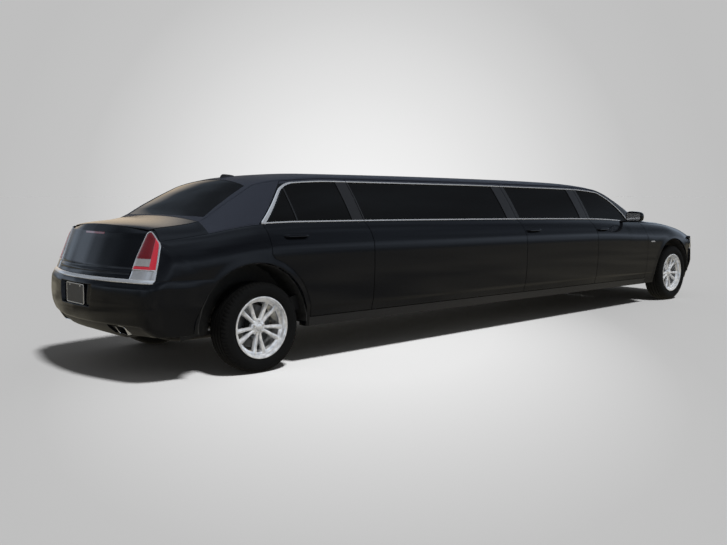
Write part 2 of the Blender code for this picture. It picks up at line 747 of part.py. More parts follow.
def boot_lid_grid(inset):
    """Deck and rear face as one bent sheet, from its front edge back and down."""
    rows = []
    across_lid = [-1, -0.66, -0.33, 0, 0.33, 0.66, 1]
    for x in (LID_FRONT, REAR_X - 0.60, REAR_X - 0.77, REAR_X - 0.87):
        line = []
        for t in across_lid:
            _, _, rail, top, _, _, rail_w = section(x)
            half = abs(t) * (rail_w - SHUT_GAP / 2)
            z = top - (top - rail) * (half / rail_w) ** 2
            edge = end_x("rear", 1.03, half) + 0.02
            line.append((max(x, edge) if x < REAR_X - 0.8 else x, math.copysign(half, t), z - inset))
        rows.append(line)
    for z in (0.985, 0.932, 0.80, 0.721, LID_LOW):
        edge = lid_edge(z)
        rows.append([(end_x("rear", z, abs(t) * edge) + inset, t * edge, z) for t in across_lid])
    return rows


bm = bmesh.new()
add_grid(bm, boot_lid_grid(0.0), boot_lid_grid(LID_DEPTH))
finished(bm, "boot_lid", "paint", lid_hinge, lid_axis)


# Ends: bumpers, lamps and grille
TUCK_Z = [0.20, 0.35, 0.45]
TUCK = [0.955, 0.975, 1.0]
SQUARE_HALF = 0.70


def end_panel(name, finish, end, heights, halves, depth):
    """A slab of an end's face: heights, and half-widths signed by side."""
    def grid(inset):
        rows = []
        for z in heights:
            line = []
            signed = halves(z) if callable(halves) else halves
            for y in signed:
                half = abs(y)
                plan = REAR_PLAN if end == "rear" else FRONT_PLAN
                x = end_x(end, z, half)
                ahead = bow(plan, half + 0.004) - bow(plan, max(half - 0.004, 0))
                slope = ahead / (0.008 if half > 0.004 else 0.004 + half)
                length = math.hypot(slope, 1)
                side = float(np.interp(z, TUCK_Z, TUCK))
                square = half < SQUARE_HALF and y in (signed[0], signed[-1])
                inward_x = (1.0 if square else 1 / length) * (1 if end == "rear" else -1)
                inward_y = 0.0 if square else slope / length
                line.append((x + inward_x * inset, math.copysign(half * side - inward_y * inset, y), z))
            rows.append(line)
        return rows
    bm = bmesh.new()
    add_grid(bm, grid(0.0), grid(depth))
    return finished(bm, name, finish, body)


def both(halves):
    return [-h for h in reversed(halves)] + [h for h in halves if h > 0]


REAR_HALVES = [0.0, 0.20, 0.40, 0.62, 0.71, 0.79, 0.845, 0.872, 0.888, 0.922, 0.941]
FRONT_HALVES = [0.0, 0.20, 0.40, 0.60, 0.70, 0.795, 0.855, 0.897, 0.930, 0.939]
GRILLE_HALF = 0.385
GRILLE_LOW = 0.410
GRILLE_HIGH = 0.745
rear_bumper = end_panel("rear_bumper", "paint", "rear", [0.235, 0.30, 0.40, 0.47, 0.58, 0.625, BUMPER_TOP],
                        both(REAR_HALVES), BUMPER_DEPTH)
cut(rear_bumper, arch_cutters["rear"])
PLATE_HALF = 0.275
PLATE_LOW = 0.425
PLATE_HIGH = 0.595
PLATE_BACK = TAIL_X + 0.028
cut(rear_bumper, cutter_of("plate_recess", body, lambda bm: add_box(
    bm, (TAIL_X - 0.05, -PLATE_HALF, PLATE_LOW), (PLATE_BACK, PLATE_HALF, PLATE_HIGH))))
front_bumper = end_panel("front_bumper", "paint", "front",
                         [0.205, 0.28, 0.38, 0.40, 0.47, 0.60, 0.70, NOSE_TOP],
                         both(FRONT_HALVES), BUMPER_DEPTH)
cut(front_bumper, arch_cutters["front"])
grille_hole = cutter_of("grille_opening", body, lambda bm: add_box(
    bm, (NOSE_X - 0.3, -GRILLE_HALF, GRILLE_LOW), (NOSE_X + 0.1, GRILLE_HALF, GRILLE_HIGH)))
cut(front_bumper, grille_hole)
LAMP_LOW = 0.610
LAMP_HIGH = 0.752
LAMP_IN = GRILLE_HALF + 0.045
LAMP_OUT = 0.915
LAMP_SHARES = [0.0, 0.35, 0.56, 0.75, 0.875, 0.963, 1.0]
TAIL_LAMP_OUT = LID_HALF + 0.250
TAIL_LAMP_SHARES = [0.0, 0.40, 0.73, 0.94, 1.0]
TAIL_LAMP_LEVELS = [0.721, 0.80, 0.932, 1.000]
behind_seam = cutter_of("behind_bumper_seam", body, lambda bm: add_box(
    bm, (FRONT_X - 0.1, -CUT_OUT, 0.0), (FRONT_X + BUMPER_SEAM + TOUCH, CUT_OUT, 0.9)))
cut(front_bumper, behind_seam)
for word, sign in (("right", -1), ("left", 1)):
    sides = sorted((sign * LAMP_IN, sign * 1.1))
    cut(front_bumper, cutter_of(f"headlamp_opening_{word}", body, lambda bm: add_box(
        bm, (NOSE_X - 0.6, sides[0], LAMP_LOW), (NOSE_X + 0.1, sides[1], LAMP_HIGH))))
for word, sign in (("right", -1), ("left", 1)):
    inner = LAMP_IN + TOUCH
    lamp_halves = [sign * (inner + share * (LAMP_OUT - inner)) for share in LAMP_SHARES]
    lamp = end_panel(f"headlamp_{word}", "clear", "front", [LAMP_LOW + TOUCH, 0.70, LAMP_HIGH - TOUCH],
                     lamp_halves, LAMP_DEPTH)
    cut(lamp, behind_seam)

    def tail_halves(z):
        inner = lid_edge(z) + LID_TO_LAMP
        return [sign * (inner + share * (TAIL_LAMP_OUT - inner)) for share in TAIL_LAMP_SHARES]
    tail = end_panel(f"tail_lamp_{word}", "red", "rear", [BUMPER_TOP + TOUCH, *TAIL_LAMP_LEVELS],
                     tail_halves, LAMP_DEPTH)
    cut(tail, ahead_of_quarter)


# Grille: a frame with level bars, in the bumper's opening
GRILLE_BARS = 6
BAR_HALF = 0.007
GRILLE_RIM = 0.030


def grille_rim(bm):
    low, high = GRILLE_LOW + EDGE_CLEAR, GRILLE_HIGH - EDGE_CLEAR
    edge = GRILLE_HALF - EDGE_CLEAR
    loops = []
    for inset, back in ((0.0, 0.0), (GRILLE_RIM, 0.0), (GRILLE_RIM, 0.05), (0.0, 0.05)):
        corners = [(s * (edge - inset), z) for s, z in
                   ((-1, low + inset), (0, low + inset), (1, low + inset),
                    (1, high - inset), (0, high - inset), (-1, high - inset))]
        loops.append([bm.verts.new((end_x("front", z, abs(y)) - back, y, z)) for y, z in corners])
    for a, b in zip(loops, loops[1:] + loops[:1]):
        for k in range(6):
            n = (k + 1) % 6
            bm.faces.new((a[k], a[n], b[n], b[k]))


def grille_bar(z):
    def build(bm):
        reach = GRILLE_HALF - GRILLE_RIM + 0.006
        outer, inner = [], []
        for height in (z - BAR_HALF, z + BAR_HALF):
            line = [(end_x("front", z, abs(t) * reach) - 0.012, t * reach, height)
                    for t in (-1, -0.5, 0, 0.5, 1)]
            outer.append(line)
            inner.append([(x - 0.025, y, h) for x, y, h in line])
        add_grid(bm, outer, inner)
    return build


bar_pitch = (GRILLE_HIGH - GRILLE_LOW - 2 * GRILLE_RIM) / (GRILLE_BARS + 1)
bars = [grille_bar(GRILLE_LOW + GRILLE_RIM + bar_pitch * (k + 1)) for k in range(GRILLE_BARS)]
joined("grille", "chrome", body, [grille_rim, *bars])


# Where a place of the standing car lies in the level body frame
def to_body(x, y, z):
    turned_x, turned_z = x + RAKE_PIVOT_Z * math.sin(RAKE), z - REST_LIFT
    return (
        turned_x * math.cos(RAKE) - turned_z * math.sin(RAKE),
        y,
        turned_x * math.sin(RAKE) + turned_z * math.cos(RAKE),
    )


FRONT_HUB = to_body(FRONT_X, 0, WHEEL_Z)
REAR_HUB = to_body(REAR_X, 0, WHEEL_Z)

# Floor pan: wide floor, hump over the rear axle, boot floor, toe board, front rails
INNER_LOW = POST_DEPTH + DOOR_DEPTH + SEAT_CLEAR
FLOOR_SPOTS = (REAR_X + 0.5, 0.0, FRONT_X - 0.6)
FLOOR_HALF = min(skin(x, level(x, FLOOR_Z))[0] for x in FLOOR_SPOTS) - INNER_LOW - TOUCH
FLOOR_TOP = FLOOR_Z + FLOOR_DEPTH
TOE_X = FRONT_X - 0.590
TUNNEL_HALF = 0.590
RAIL_IN, RAIL_OUT = 0.360, 0.430
RAIL_LOW, RAIL_HIGH = 0.330, 0.430
FLOOR_REAR = REAR_X + 0.520
RAIL_NOSE = NOSE_X - 0.150
LATCH_TOP = 0.721
LATCH_X = end_x("rear", LATCH_TOP, 0.05) + LID_DEPTH + TOUCH
BOOT_FLOOR_REAR = TAIL_X + 0.250
BOOT_FLOOR_Z = 0.305
PAN = 0.030
HUMP_Z = 0.400
HUMP_HALF = 0.260
HUMP = [
    (FLOOR_REAR + 0.1, FLOOR_Z), (REAR_X + HUMP_HALF + 0.10, FLOOR_Z), (REAR_X + HUMP_HALF, HUMP_Z),
    (REAR_X - HUMP_HALF, HUMP_Z), (REAR_X - HUMP_HALF - 0.14, BOOT_FLOOR_Z), (BOOT_FLOOR_REAR, BOOT_FLOOR_Z),
    (BOOT_FLOOR_REAR, BOOT_FLOOR_Z + PAN), (REAR_X - HUMP_HALF - 0.12, BOOT_FLOOR_Z + PAN),
    (REAR_X - HUMP_HALF, HUMP_Z + PAN), (REAR_X + HUMP_HALF + 0.04, HUMP_Z + PAN),
    (REAR_X + HUMP_HALF + 0.14, FLOOR_TOP), (FLOOR_REAR + 0.1, FLOOR_TOP),
]
TOE_BOARD_HALF = 0.700
TOE_BOARD_TOP = 0.860
POST_HALF = 0.050
POST_FRONT = BONNET_REAR + 0.060
post_top = skin(POST_FRONT, 3.0)[1] - LID_DEPTH - SEAT_CLEAR
LATCH_POST = [
    (LATCH_X, LATCH_TOP), (LATCH_X + 0.03, LATCH_TOP), (BOOT_FLOOR_REAR + 0.04, BOOT_FLOOR_Z + 0.025),
    (BOOT_FLOOR_REAR - 0.02, BOOT_FLOOR_Z + 0.005), (LATCH_X + 0.01, 0.420),
]
joined("floor_pan", "black", body, [
    lambda bm: add_box(bm, (FLOOR_REAR, -FLOOR_HALF, FLOOR_Z), (TOE_X + 0.02, FLOOR_HALF, FLOOR_TOP)),
    lambda bm: add_prism(bm, HUMP, 1, -TUNNEL_HALF, TUNNEL_HALF),
    lambda bm: add_box(bm, (TOE_X, -TOE_BOARD_HALF, FLOOR_Z + 0.01),
                       (TOE_X + PAN, TOE_BOARD_HALF, TOE_BOARD_TOP)),
    lambda bm: add_box(bm, (TOE_X + 0.02, -RAIL_OUT, RAIL_LOW), (RAIL_NOSE, -RAIL_IN, RAIL_HIGH)),
    lambda bm: add_box(bm, (TOE_X + 0.02, RAIL_IN, RAIL_LOW), (RAIL_NOSE, RAIL_OUT, RAIL_HIGH)),
    lambda bm: add_box(bm, (RAIL_NOSE - 0.06, -RAIL_IN - 0.01, RAIL_LOW),
                       (RAIL_NOSE, RAIL_IN + 0.01, RAIL_HIGH)),
    lambda bm: add_box(bm, (TOE_X, -POST_HALF, TOE_BOARD_TOP - 0.01), (POST_FRONT, POST_HALF, post_top)),
    lambda bm: add_prism(bm, LATCH_POST, 1, -POST_HALF, POST_HALF),
])

# Engine: one plain block between the rails
ENGINE_REAR, ENGINE_FRONT = FRONT_X - 0.420, FRONT_X + 0.260
ENGINE_HALF = RAIL_IN - EDGE_CLEAR
ENGINE_TOP = 0.840
joined("engine", "iron", body, [
    lambda bm: add_box(bm, (ENGINE_REAR, -ENGINE_HALF, RAIL_LOW - 0.02),
                       (ENGINE_FRONT, ENGINE_HALF, ENGINE_TOP)),
])

# Front crossmember with its lower arms, joint seats and struts
ARM_Z = FRONT_HUB[2] - 0.135
JOINT_TOP = ARM_Z + 0.030
STRUT_OUT = 0.600
STRUT_TOP = 0.800
CROSS_HALF, CROSS_BRACKET_HALF = 0.070, 0.050
CROSS_RISE = 0.030
cross_parts = [lambda bm: add_box(bm, (FRONT_X - CROSS_HALF, -RAIL_OUT, ARM_Z - CROSS_RISE),
                                  (FRONT_X + CROSS_HALF, RAIL_OUT, ARM_Z + CROSS_RISE))]
for sign in (-1, 1):
    cross_parts.append(lambda bm, s=sign: add_box(
        bm, (FRONT_X - CROSS_BRACKET_HALF, min(s * RAIL_IN, s * RAIL_OUT), ARM_Z),
        (FRONT_X + CROSS_BRACKET_HALF, max(s * RAIL_IN, s * RAIL_OUT), RAIL_LOW - TOUCH)))
    # Lower arm, joint seat and strut: (y and z at each end, radius, sides)
    for start, end, radius, sides in (
        ((RAIL_OUT - 0.03, ARM_Z), (STEER_OUT + 0.01, ARM_Z), 0.020, 12),
        ((STEER_OUT, ARM_Z - 0.02), (STEER_OUT, JOINT_TOP), 0.024, 12),
        ((STRUT_OUT, ARM_Z), (STRUT_OUT, STRUT_TOP), 0.042, 14),
    ):
        cross_parts.append(lambda bm, s=sign, a=start, b=end, r=radius, n=sides: add_rod(
            bm, (FRONT_HUB[0], s * a[0], a[1]), (FRONT_HUB[0], s * b[0], b[1]), r, n))
joined("front_crossmember", "iron", body, cross_parts)

# Front knuckles: kingpin, hub carrier and stub axle
STUB_END = 0.805
CARRIER_IN, CARRIER_OUT = 0.685, 0.744
KINGPIN_TOP = 0.110
for word, sign in (("right", -1), ("left", 1)):
    pin = (FRONT_HUB[0], sign * STEER_OUT, FRONT_HUB[2])
    steer = empty(f"axis_steer_{word}", pin, body)
    joined(f"knuckle_front_{word}", "iron", steer, [
        lambda bm: add_rod(bm, (pin[0], pin[1], JOINT_TOP + TOUCH), (pin[0], pin[1], pin[2] + KINGPIN_TOP),
                           0.021, 12),
        lambda bm: add_rod(bm, (pin[0], sign * CARRIER_IN, pin[2]), (pin[0], sign * CARRIER_OUT, pin[2]),
                           0.055, 16),
        lambda bm: add_rod(bm, (pin[0], sign * (CARRIER_OUT - 0.009), pin[2]),
                           (pin[0], sign * STUB_END, pin[2]), STUB_RADIUS, 16),
    ], origin=pin)

# Rear axle: subframe under the hump, final drive, half shafts, hub carriers and arms
DIFF_HALF = 0.150
SUBFRAME_HALF = 0.500
SUBFRAME_LOW = 0.330
SHAFT_OUT = 0.700
axle_parts = [
    lambda bm: add_box(bm, (REAR_HUB[0] - 0.17, -DIFF_HALF, REAR_HUB[2] - 0.10),
                       (REAR_HUB[0] + 0.19, DIFF_HALF, REAR_HUB[2] + 0.09)),
    lambda bm: add_box(bm, (REAR_HUB[0] - 0.09, -SUBFRAME_HALF, SUBFRAME_LOW),
                       (REAR_HUB[0] + 0.09, SUBFRAME_HALF, HUMP_Z - TOUCH)),
    lambda bm: add_box(bm, (REAR_HUB[0] - 0.05, -0.10, SUBFRAME_LOW - 0.07),
                       (REAR_HUB[0] + 0.05, 0.10, SUBFRAME_LOW + 0.03)),
]
for sign in (-1, 1):
    for start, end, height, radius in (
        (0.10, SHAFT_OUT, 0.0, 0.024), (0.10, SHAFT_OUT, -0.075, 0.022),
        (CARRIER_IN - 0.010, CARRIER_OUT, 0.0, 0.110), (CARRIER_OUT - 0.009, STUB_END, 0.0, STUB_RADIUS),
    ):
        axle_parts.append(lambda bm, s=sign, a=start, b=end, h=height, r=radius: add_rod(
            bm, (REAR_HUB[0], s * a, REAR_HUB[2] + h), (REAR_HUB[0], s * b, REAR_HUB[2] + h), r, 14))
    axle_parts.append(lambda bm, s=sign: add_rod(
        bm, (REAR_HUB[0], s * (SUBFRAME_HALF - 0.03), SUBFRAME_LOW + 0.01),
        (REAR_HUB[0], s * SHAFT_OUT, REAR_HUB[2] + 0.06), 0.020, 12))
joined("rear_axle", "iron", body, axle_parts)

# Exhaust: two pipes under the floor, joined by a silencer, ending in the rear valance
PIPE_OUT = 0.497
PIPE_R = 0.028
PIPE_Z = FLOOR_Z - PIPE_R - TOUCH
TIP_Z = 0.262
TIP_HALF_Y, TIP_HALF_Z = 0.075, 0.032
TIP_END = REAR_X - 0.972
TIP_START = REAR_X - 0.780
SILENCER_REAR, SILENCER_FRONT = REAR_X - 0.890, REAR_X - 0.700
SILENCER_HALF = 0.420
SILENCER_LOW = 0.165
PIPE_LOW = 0.105
# Each length of pipe: (x, y, z) at its rear and front end; neighbours overlap a little.
PIPE_RUNS = [
    ((REAR_X - 0.75, 0.30, SILENCER_LOW + 0.045), (REAR_X - 0.28, 0.24, PIPE_LOW)),
    ((REAR_X - 0.30, 0.24, PIPE_LOW), (REAR_X + 0.50, 0.22, PIPE_LOW)),
    ((REAR_X + 0.47, 0.22, PIPE_LOW + 0.005), (REAR_X + 0.80, 0.20, PIPE_Z)),
    ((REAR_X + 0.78, 0.20, PIPE_Z), (FRONT_X - 0.70, 0.20, PIPE_Z)),
]
exhaust_parts = [
    lambda bm: add_box(bm, (SILENCER_REAR, -SILENCER_HALF, SILENCER_LOW),
                       (SILENCER_FRONT, SILENCER_HALF, BOOT_FLOOR_Z - TOUCH)),
]
for sign in (-1, 1):
    tip_y = sorted((sign * (PIPE_OUT - TIP_HALF_Y), sign * (PIPE_OUT + TIP_HALF_Y)))
    neck_y = sorted((sign * (SILENCER_HALF - 0.02), sign * (SILENCER_HALF + 0.03)))
    exhaust_parts.append(lambda bm, y=tip_y: add_box(
        bm, (TIP_END, y[0], TIP_Z - TIP_HALF_Z), (TIP_START, y[1], TIP_Z + TIP_HALF_Z)))
    exhaust_parts.append(lambda bm, y=neck_y: add_box(
        bm, (SILENCER_REAR - 0.01, y[0], TIP_Z - 0.05), (TIP_START, y[1], TIP_Z)))
    for start, end in PIPE_RUNS:
        exhaust_parts.append(lambda bm, s=sign, a=start, b=end: add_rod(
            bm, (a[0], s * a[1], a[2]), (b[0], s * b[1], b[2]), PIPE_R, 10))
joined("exhaust", "iron", body, exhaust_parts)
for word, sign in (("right", -1), ("left", 1)):
    cut(rear_bumper, cutter_of(f"tip_opening_{word}", body, lambda bm: add_box(
        bm, (TAIL_X - 0.1, sign * PIPE_OUT - TIP_HALF_Y - 0.010, TIP_Z - 0.10),
        (SILENCER_FRONT, sign * PIPE_OUT + TIP_HALF_Y + 0.010, TIP_Z + TIP_HALF_Z + 0.008))))


# Wheels and tyres
def turned(name, finish, profile, sides, place):
    """A closed profile of (radius, distance outboard) turned about the axle line."""
    half_step = math.pi / sides
    bm = bmesh.new()
    points = [bm.verts.new((r * math.cos(half_step), r * math.sin(half_step), out)) for r, out in profile]
    for k in range(len(points)):
        bm.edges.new((points[k], points[(k + 1) % len(points)]))
    mesh = bpy.data.meshes.new(name)
    bm.to_mesh(mesh)
    bm.free()
    made = bpy.data.objects.new(name, mesh)
    made.location = place
    made.rotation_euler = (math.pi / 2 if place[1] < 0 else -math.pi / 2, 0, 0)
    copy = material(finish).copy()
    copy.name = name
    mesh.materials.append(copy)
    screw = made.modifiers.new("turned", "SCREW")
    screw.steps = sides
    screw.render_steps = sides
    screw.use_merge_vertices = True
    screw.merge_threshold = 0.00001
    screw.use_smooth_shade = True
    car.objects.link(made)
    return made


TYRE_SIDES = 40
RIM_SIDES = 30
TREAD_R = WHEEL_Z / math.cos(math.pi / TYRE_SIDES)
tyre_half = TYRE_WIDTH / 2
bead_r = (TYRE_BEAD + TOUCH) / math.cos(math.pi / TYRE_SIDES)
# Half of the tyre's section, from the outer bead up to the tread: (radius, distance outboard)
TYRE_SHOULDER = [
    (bead_r, 0.0915), (RIM_LIP + 0.001, 0.0915), (0.262, 0.108), (0.302, tyre_half), (0.335, 0.110),
    (TREAD_R, 0.088),
]
TYRE_PROFILE = TYRE_SHOULDER + [(r, -out) for r, out in reversed(TYRE_SHOULDER)]
RIM_PROFILE = [
    (TYRE_BEAD, 0.092), (RIM_LIP, 0.096), (RIM_LIP, 0.106), (0.232, 0.106), (0.222, 0.090),
    (0.216, 0.060), (0.205, 0.020), (0.205, -0.100), (RIM_LIP - 0.004, -0.106),
    (RIM_LIP - 0.004, -0.098), (TYRE_BEAD, -0.094),
]
SPOKE_PAIRS = 5
SPOKE_SPLAY = math.radians(11.5)
DISC_R = 0.168
DISC_IN, DISC_OUT = -0.055, -0.030
HUB_IN, HUB_OUT = -0.058, 0.072


def spoke(angle):
    """A spoke from the hub to the rim, slim at the middle and dished a little."""
    def build(bm):
        outer, inner = [], []
        for radius, half, out, deep in ((0.050, 0.016, 0.070, 0.045), (0.130, 0.0135, 0.064, 0.036),
                                        (0.222, 0.019, 0.082, 0.030)):
            lean = angle * (1 - 0.16 * (0.222 - radius) / 0.172)
            middle = Vector((math.cos(lean), math.sin(lean), 0)) * radius
            side = Vector((-math.sin(lean), math.cos(lean), 0)) * half
            face, back = Vector((0, 0, out)), Vector((0, 0, out - deep))
            outer.append([tuple(middle + side + face), tuple(middle - side + face)])
            inner.append([tuple(middle + side * 1.15 + back), tuple(middle - side * 1.15 + back)])
        add_grid(bm, outer, inner)
    return build


wheel_adds = [
    lambda bm: add_rod(bm, (0, 0, HUB_IN), (0, 0, HUB_OUT), HUB_RADIUS, 20),
    lambda bm: add_rod(bm, (0, 0, DISC_IN), (0, 0, DISC_OUT), DISC_R, 28),
]
for k in range(SPOKE_PAIRS):
    for splay in (-SPOKE_SPLAY, SPOKE_SPLAY):
        wheel_adds.append(spoke(math.pi / 2 + k * 2 * math.pi / SPOKE_PAIRS + splay))
wheel_meshes = []
for place, x in (("front", FRONT_X), ("rear", REAR_X)):
    for word, sign in (("right", -1), ("left", 1)):
        centre = (x, sign * WHEEL_OUT, WHEEL_Z)
        turned(f"tyre_{place}_{word}", "rubber", TYRE_PROFILE, TYRE_SIDES, centre)
        wheel = turned(f"wheel_{place}_{word}", "wheel", RIM_PROFILE, RIM_SIDES, centre)
        for k, build in enumerate(wheel_adds):
            if len(wheel_meshes) <= k:
                bm = bmesh.new()
                build(bm)
                bmesh.ops.recalc_face_normals(bm, faces=bm.faces)
                mesh = bpy.data.meshes.new(f"wheel_add_{k}")
                bm.to_mesh(mesh)
                bm.free()
                wheel_meshes.append(mesh)
            extra = bpy.data.objects.new(f"wheel_{place}_{word}_add_{k}", wheel_meshes[k])
            extra.parent = wheel
            extra.hide_render = True
            extra.display_type = "WIRE"
            cutters.objects.link(extra)
            cut(wheel, extra, "UNION")
        bore = cutter_of(f"wheel_{place}_{word}_bore", wheel, lambda bm: add_rod(
            bm, (0, 0, HUB_IN - 0.01), (0, 0, STUB_END - WHEEL_OUT + 0.003), STUB_RADIUS + 0.001, 20))
        cut(wheel, bore)

# Mirrors, on the front doors
MIRROR_X = FRONT_X - 1.150
MIRROR_OUT, MIRROR_Z = 0.990, 1.052
MIRROR_SIZE = (0.125, 0.215, 0.130)
FOOT_LOW, FOOT_TOP = 0.972, 1.015
FOOT_HALF, FOOT_OUT = 0.035, 0.970
FOOT_CLEAR = 0.0008
for word, sign in (("right", -1), ("left", 1)):
    hinge_at = (FRONT_DOOR_FRONT, sign * HINGE_OUT, 0)
    hinge = bpy.data.objects[f"axis_door_front_{word}"]
    foot_spots = (MIRROR_X - FOOT_HALF, MIRROR_X, MIRROR_X + FOOT_HALF)
    foot = max(skin(x, level(x, FOOT_LOW))[0] for x in foot_spots) + FOOT_CLEAR

    def shell(bm):
        made = add_box(bm, (-0.5, -0.5, -0.5), (0.5, 0.5, 0.5))
        bmesh.ops.bevel(bm, geom=list(bm.edges), offset=0.22, segments=2, affect="EDGES")
        bmesh.ops.transform(bm, verts=bm.verts, matrix=Matrix.Translation(
            (MIRROR_X + 0.005, sign * MIRROR_OUT, MIRROR_Z)) @ Matrix.Diagonal((*MIRROR_SIZE, 1)))
    joined(f"mirror_{word}", "paint", hinge, [
        shell,
        lambda bm: add_box(bm, (MIRROR_X - FOOT_HALF, min(sign * foot, sign * FOOT_OUT), FOOT_LOW),
                           (MIRROR_X + FOOT_HALF, max(sign * foot, sign * FOOT_OUT), FOOT_TOP)),
    ], origin=hinge_at)

# Cabin: dashboard and steering wheel, front seats, partition, couch and bar
SEAT_FLOOR = FLOOR_TOP + TOUCH
DASH_X = TOE_X - TOUCH
DASH_LOW, DASH_TOP = 0.620, 0.930
DASH_HALF = 0.660
STEER_Y = 0.360
STEER_WHEEL_R = 0.185
CONSOLE_HALF = 0.120
DASH = [(DASH_X, DASH_LOW), (DASH_X, DASH_TOP), (DASH_X - 0.30, DASH_TOP), (DASH_X - 0.46, DASH_TOP - 0.07),
        (DASH_X - 0.40, DASH_LOW)]
joined("dashboard", "black", body, [
    lambda bm: add_prism(bm, DASH, 1, -DASH_HALF, DASH_HALF),
    lambda bm: add_rod(bm, (DASH_X - 0.35, STEER_Y, 0.77), (DASH_X - 0.60, STEER_Y, 0.86), 0.030, 12),
    lambda bm: add_rod(bm, (DASH_X - 0.585, STEER_Y, 0.855), (DASH_X - 0.615, STEER_Y, 0.866),
                       STEER_WHEEL_R, 20),
    lambda bm: add_box(bm, (DASH_X - 0.40, -CONSOLE_HALF, SEAT_FLOOR),
                       (DASH_X - 0.02, CONSOLE_HALF, DASH_LOW + 0.08)),
])

SEAT_Z, BACK_Z = 0.560, 1.100
SEAT_REAR, SEAT_FRONT = FRONT_X - 2.000, FRONT_X - 1.420
SEAT_IN, SEAT_OUT = 0.100, 0.600
BACK_DEPTH, BACK_LEAN = 0.160, 0.100
SEAT_BACK = [
    (SEAT_REAR, SEAT_FLOOR), (SEAT_REAR + BACK_DEPTH, SEAT_FLOOR), (SEAT_REAR + BACK_DEPTH, SEAT_Z),
    (SEAT_REAR + 0.01, BACK_Z), (SEAT_REAR - BACK_LEAN, BACK_Z),
]
front_seats = []
for low, high in ((SEAT_IN, SEAT_OUT), (-SEAT_OUT, -SEAT_IN)):
    front_seats.append(lambda bm, a=low, b=high: add_box(
        bm, (SEAT_REAR, a, SEAT_FLOOR), (SEAT_FRONT, b, SEAT_Z)))
    front_seats.append(lambda bm, a=low, b=high: add_prism(bm, SEAT_BACK, 1, a, b))
front_seats.append(lambda bm: add_box(bm, (SEAT_REAR + 0.05, -SEAT_IN - 0.02, SEAT_FLOOR),
                                      (SEAT_FRONT - 0.03, SEAT_IN + 0.02, SEAT_Z - 0.06)))
joined("front_seats", "leather", body, front_seats)

PARTITION_X = FRONT_X - 2.260
PARTITION_DEPTH = 0.050
# Half of the partition's edge, from the floor up: (y, z)
PARTITION_EDGE = [(0.66, SEAT_FLOOR), (0.74, 0.55), (0.72, 0.95), (0.46, 1.375)]
joined("partition", "leather", body, [
    lambda bm: add_prism(bm, PARTITION_EDGE + [(-y, z) for y, z in reversed(PARTITION_EDGE)],
                         0, PARTITION_X, PARTITION_X + PARTITION_DEPTH),
])

# The couch runs across the rear and then forward along the left side
COUCH_REAR, COUCH_FRONT = REAR_X + 0.420, PARTITION_X - 0.200
COUCH_HALF = 0.700
COUCH_SIDE_IN, COUCH_SIDE_OUT = 0.280, 0.760
COUCH_BACK = [(COUCH_REAR + 0.01, SEAT_Z - 0.10), (COUCH_REAR + 0.20, SEAT_Z - 0.06),
              (COUCH_REAR + 0.02, 1.02), (COUCH_REAR - 0.09, 1.02)]
COUCH_SIDE_BACK = [(COUCH_SIDE_OUT - 0.16, SEAT_Z - 0.06), (COUCH_SIDE_OUT, SEAT_Z - 0.06),
                   (COUCH_SIDE_OUT - 0.015, 0.92), (COUCH_SIDE_OUT - 0.10, 0.92)]
joined("couch", "leather", body, [
    lambda bm: add_box(bm, (COUCH_REAR, -COUCH_HALF, SEAT_FLOOR), (COUCH_REAR + 0.56, COUCH_HALF, SEAT_Z)),
    lambda bm: add_prism(bm, COUCH_BACK, 1, -COUCH_HALF + 0.04, COUCH_HALF - 0.04),
    lambda bm: add_box(bm, (COUCH_REAR + 0.53, COUCH_SIDE_IN, SEAT_FLOOR),
                       (COUCH_FRONT, COUCH_SIDE_OUT, SEAT_Z)),
    lambda bm: add_prism(bm, COUCH_SIDE_BACK, 0, COUCH_REAR + 0.48, COUCH_FRONT),
])
BAR_REAR, BAR_FRONT = REAR_X + 1.450, FIFTH_DOOR_REAR - 0.050
BAR_IN, BAR_OUT = 0.400, 0.760
BAR_TOP = 0.840
joined("bar_cabinet", "wood", body, [
    lambda bm: add_box(bm, (BAR_REAR, -BAR_OUT, SEAT_FLOOR), (BAR_FRONT, -BAR_IN, BAR_TOP)),
])
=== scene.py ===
# Looks of the stretch limousine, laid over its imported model.
# Panels follow one smooth skin: x along the car, v up a section (0 sill, 1 belt, 2 rail, 3 top).
import math

import bpy
import numpy as np
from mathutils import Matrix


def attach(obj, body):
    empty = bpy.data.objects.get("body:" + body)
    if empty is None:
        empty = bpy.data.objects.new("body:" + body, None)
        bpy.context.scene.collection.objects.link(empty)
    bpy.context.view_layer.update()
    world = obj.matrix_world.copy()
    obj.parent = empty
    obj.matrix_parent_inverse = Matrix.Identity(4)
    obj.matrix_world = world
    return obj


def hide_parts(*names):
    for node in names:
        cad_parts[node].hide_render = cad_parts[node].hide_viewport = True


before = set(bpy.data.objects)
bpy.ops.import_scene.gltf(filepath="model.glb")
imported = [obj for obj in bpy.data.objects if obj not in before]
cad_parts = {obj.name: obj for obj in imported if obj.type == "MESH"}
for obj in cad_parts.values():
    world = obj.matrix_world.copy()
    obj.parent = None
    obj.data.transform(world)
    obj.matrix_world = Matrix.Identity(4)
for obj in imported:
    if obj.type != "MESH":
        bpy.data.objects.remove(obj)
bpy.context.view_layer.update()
print("frame loaded")

rake = math.radians(0.5635)
cosRake, sinRake = math.cos(rake), math.sin(rake)
restLift, pivotHeight = 0.0836, 0.47
rearX, frontX = -3.193, 3.416
tailX, noseX = -4.3, 4.3
roofRear, roofFront = rearX - 0.400, frontX - 0.560
rearDoorFront = rearX + 1.165
fifthRear, fifthFront = frontX - 3.249, frontX - 1.879
frontDoorFront, pillarFoot = frontX - 0.724, frontX - 0.895
glassLow, glassTop = 1.03, 1.885
halfGap = 0.0028
bothSides = (("right", -1), ("left", 1))
noseTop, bumperTop = 0.778, 0.648
bumperSeamX = frontX + 0.462

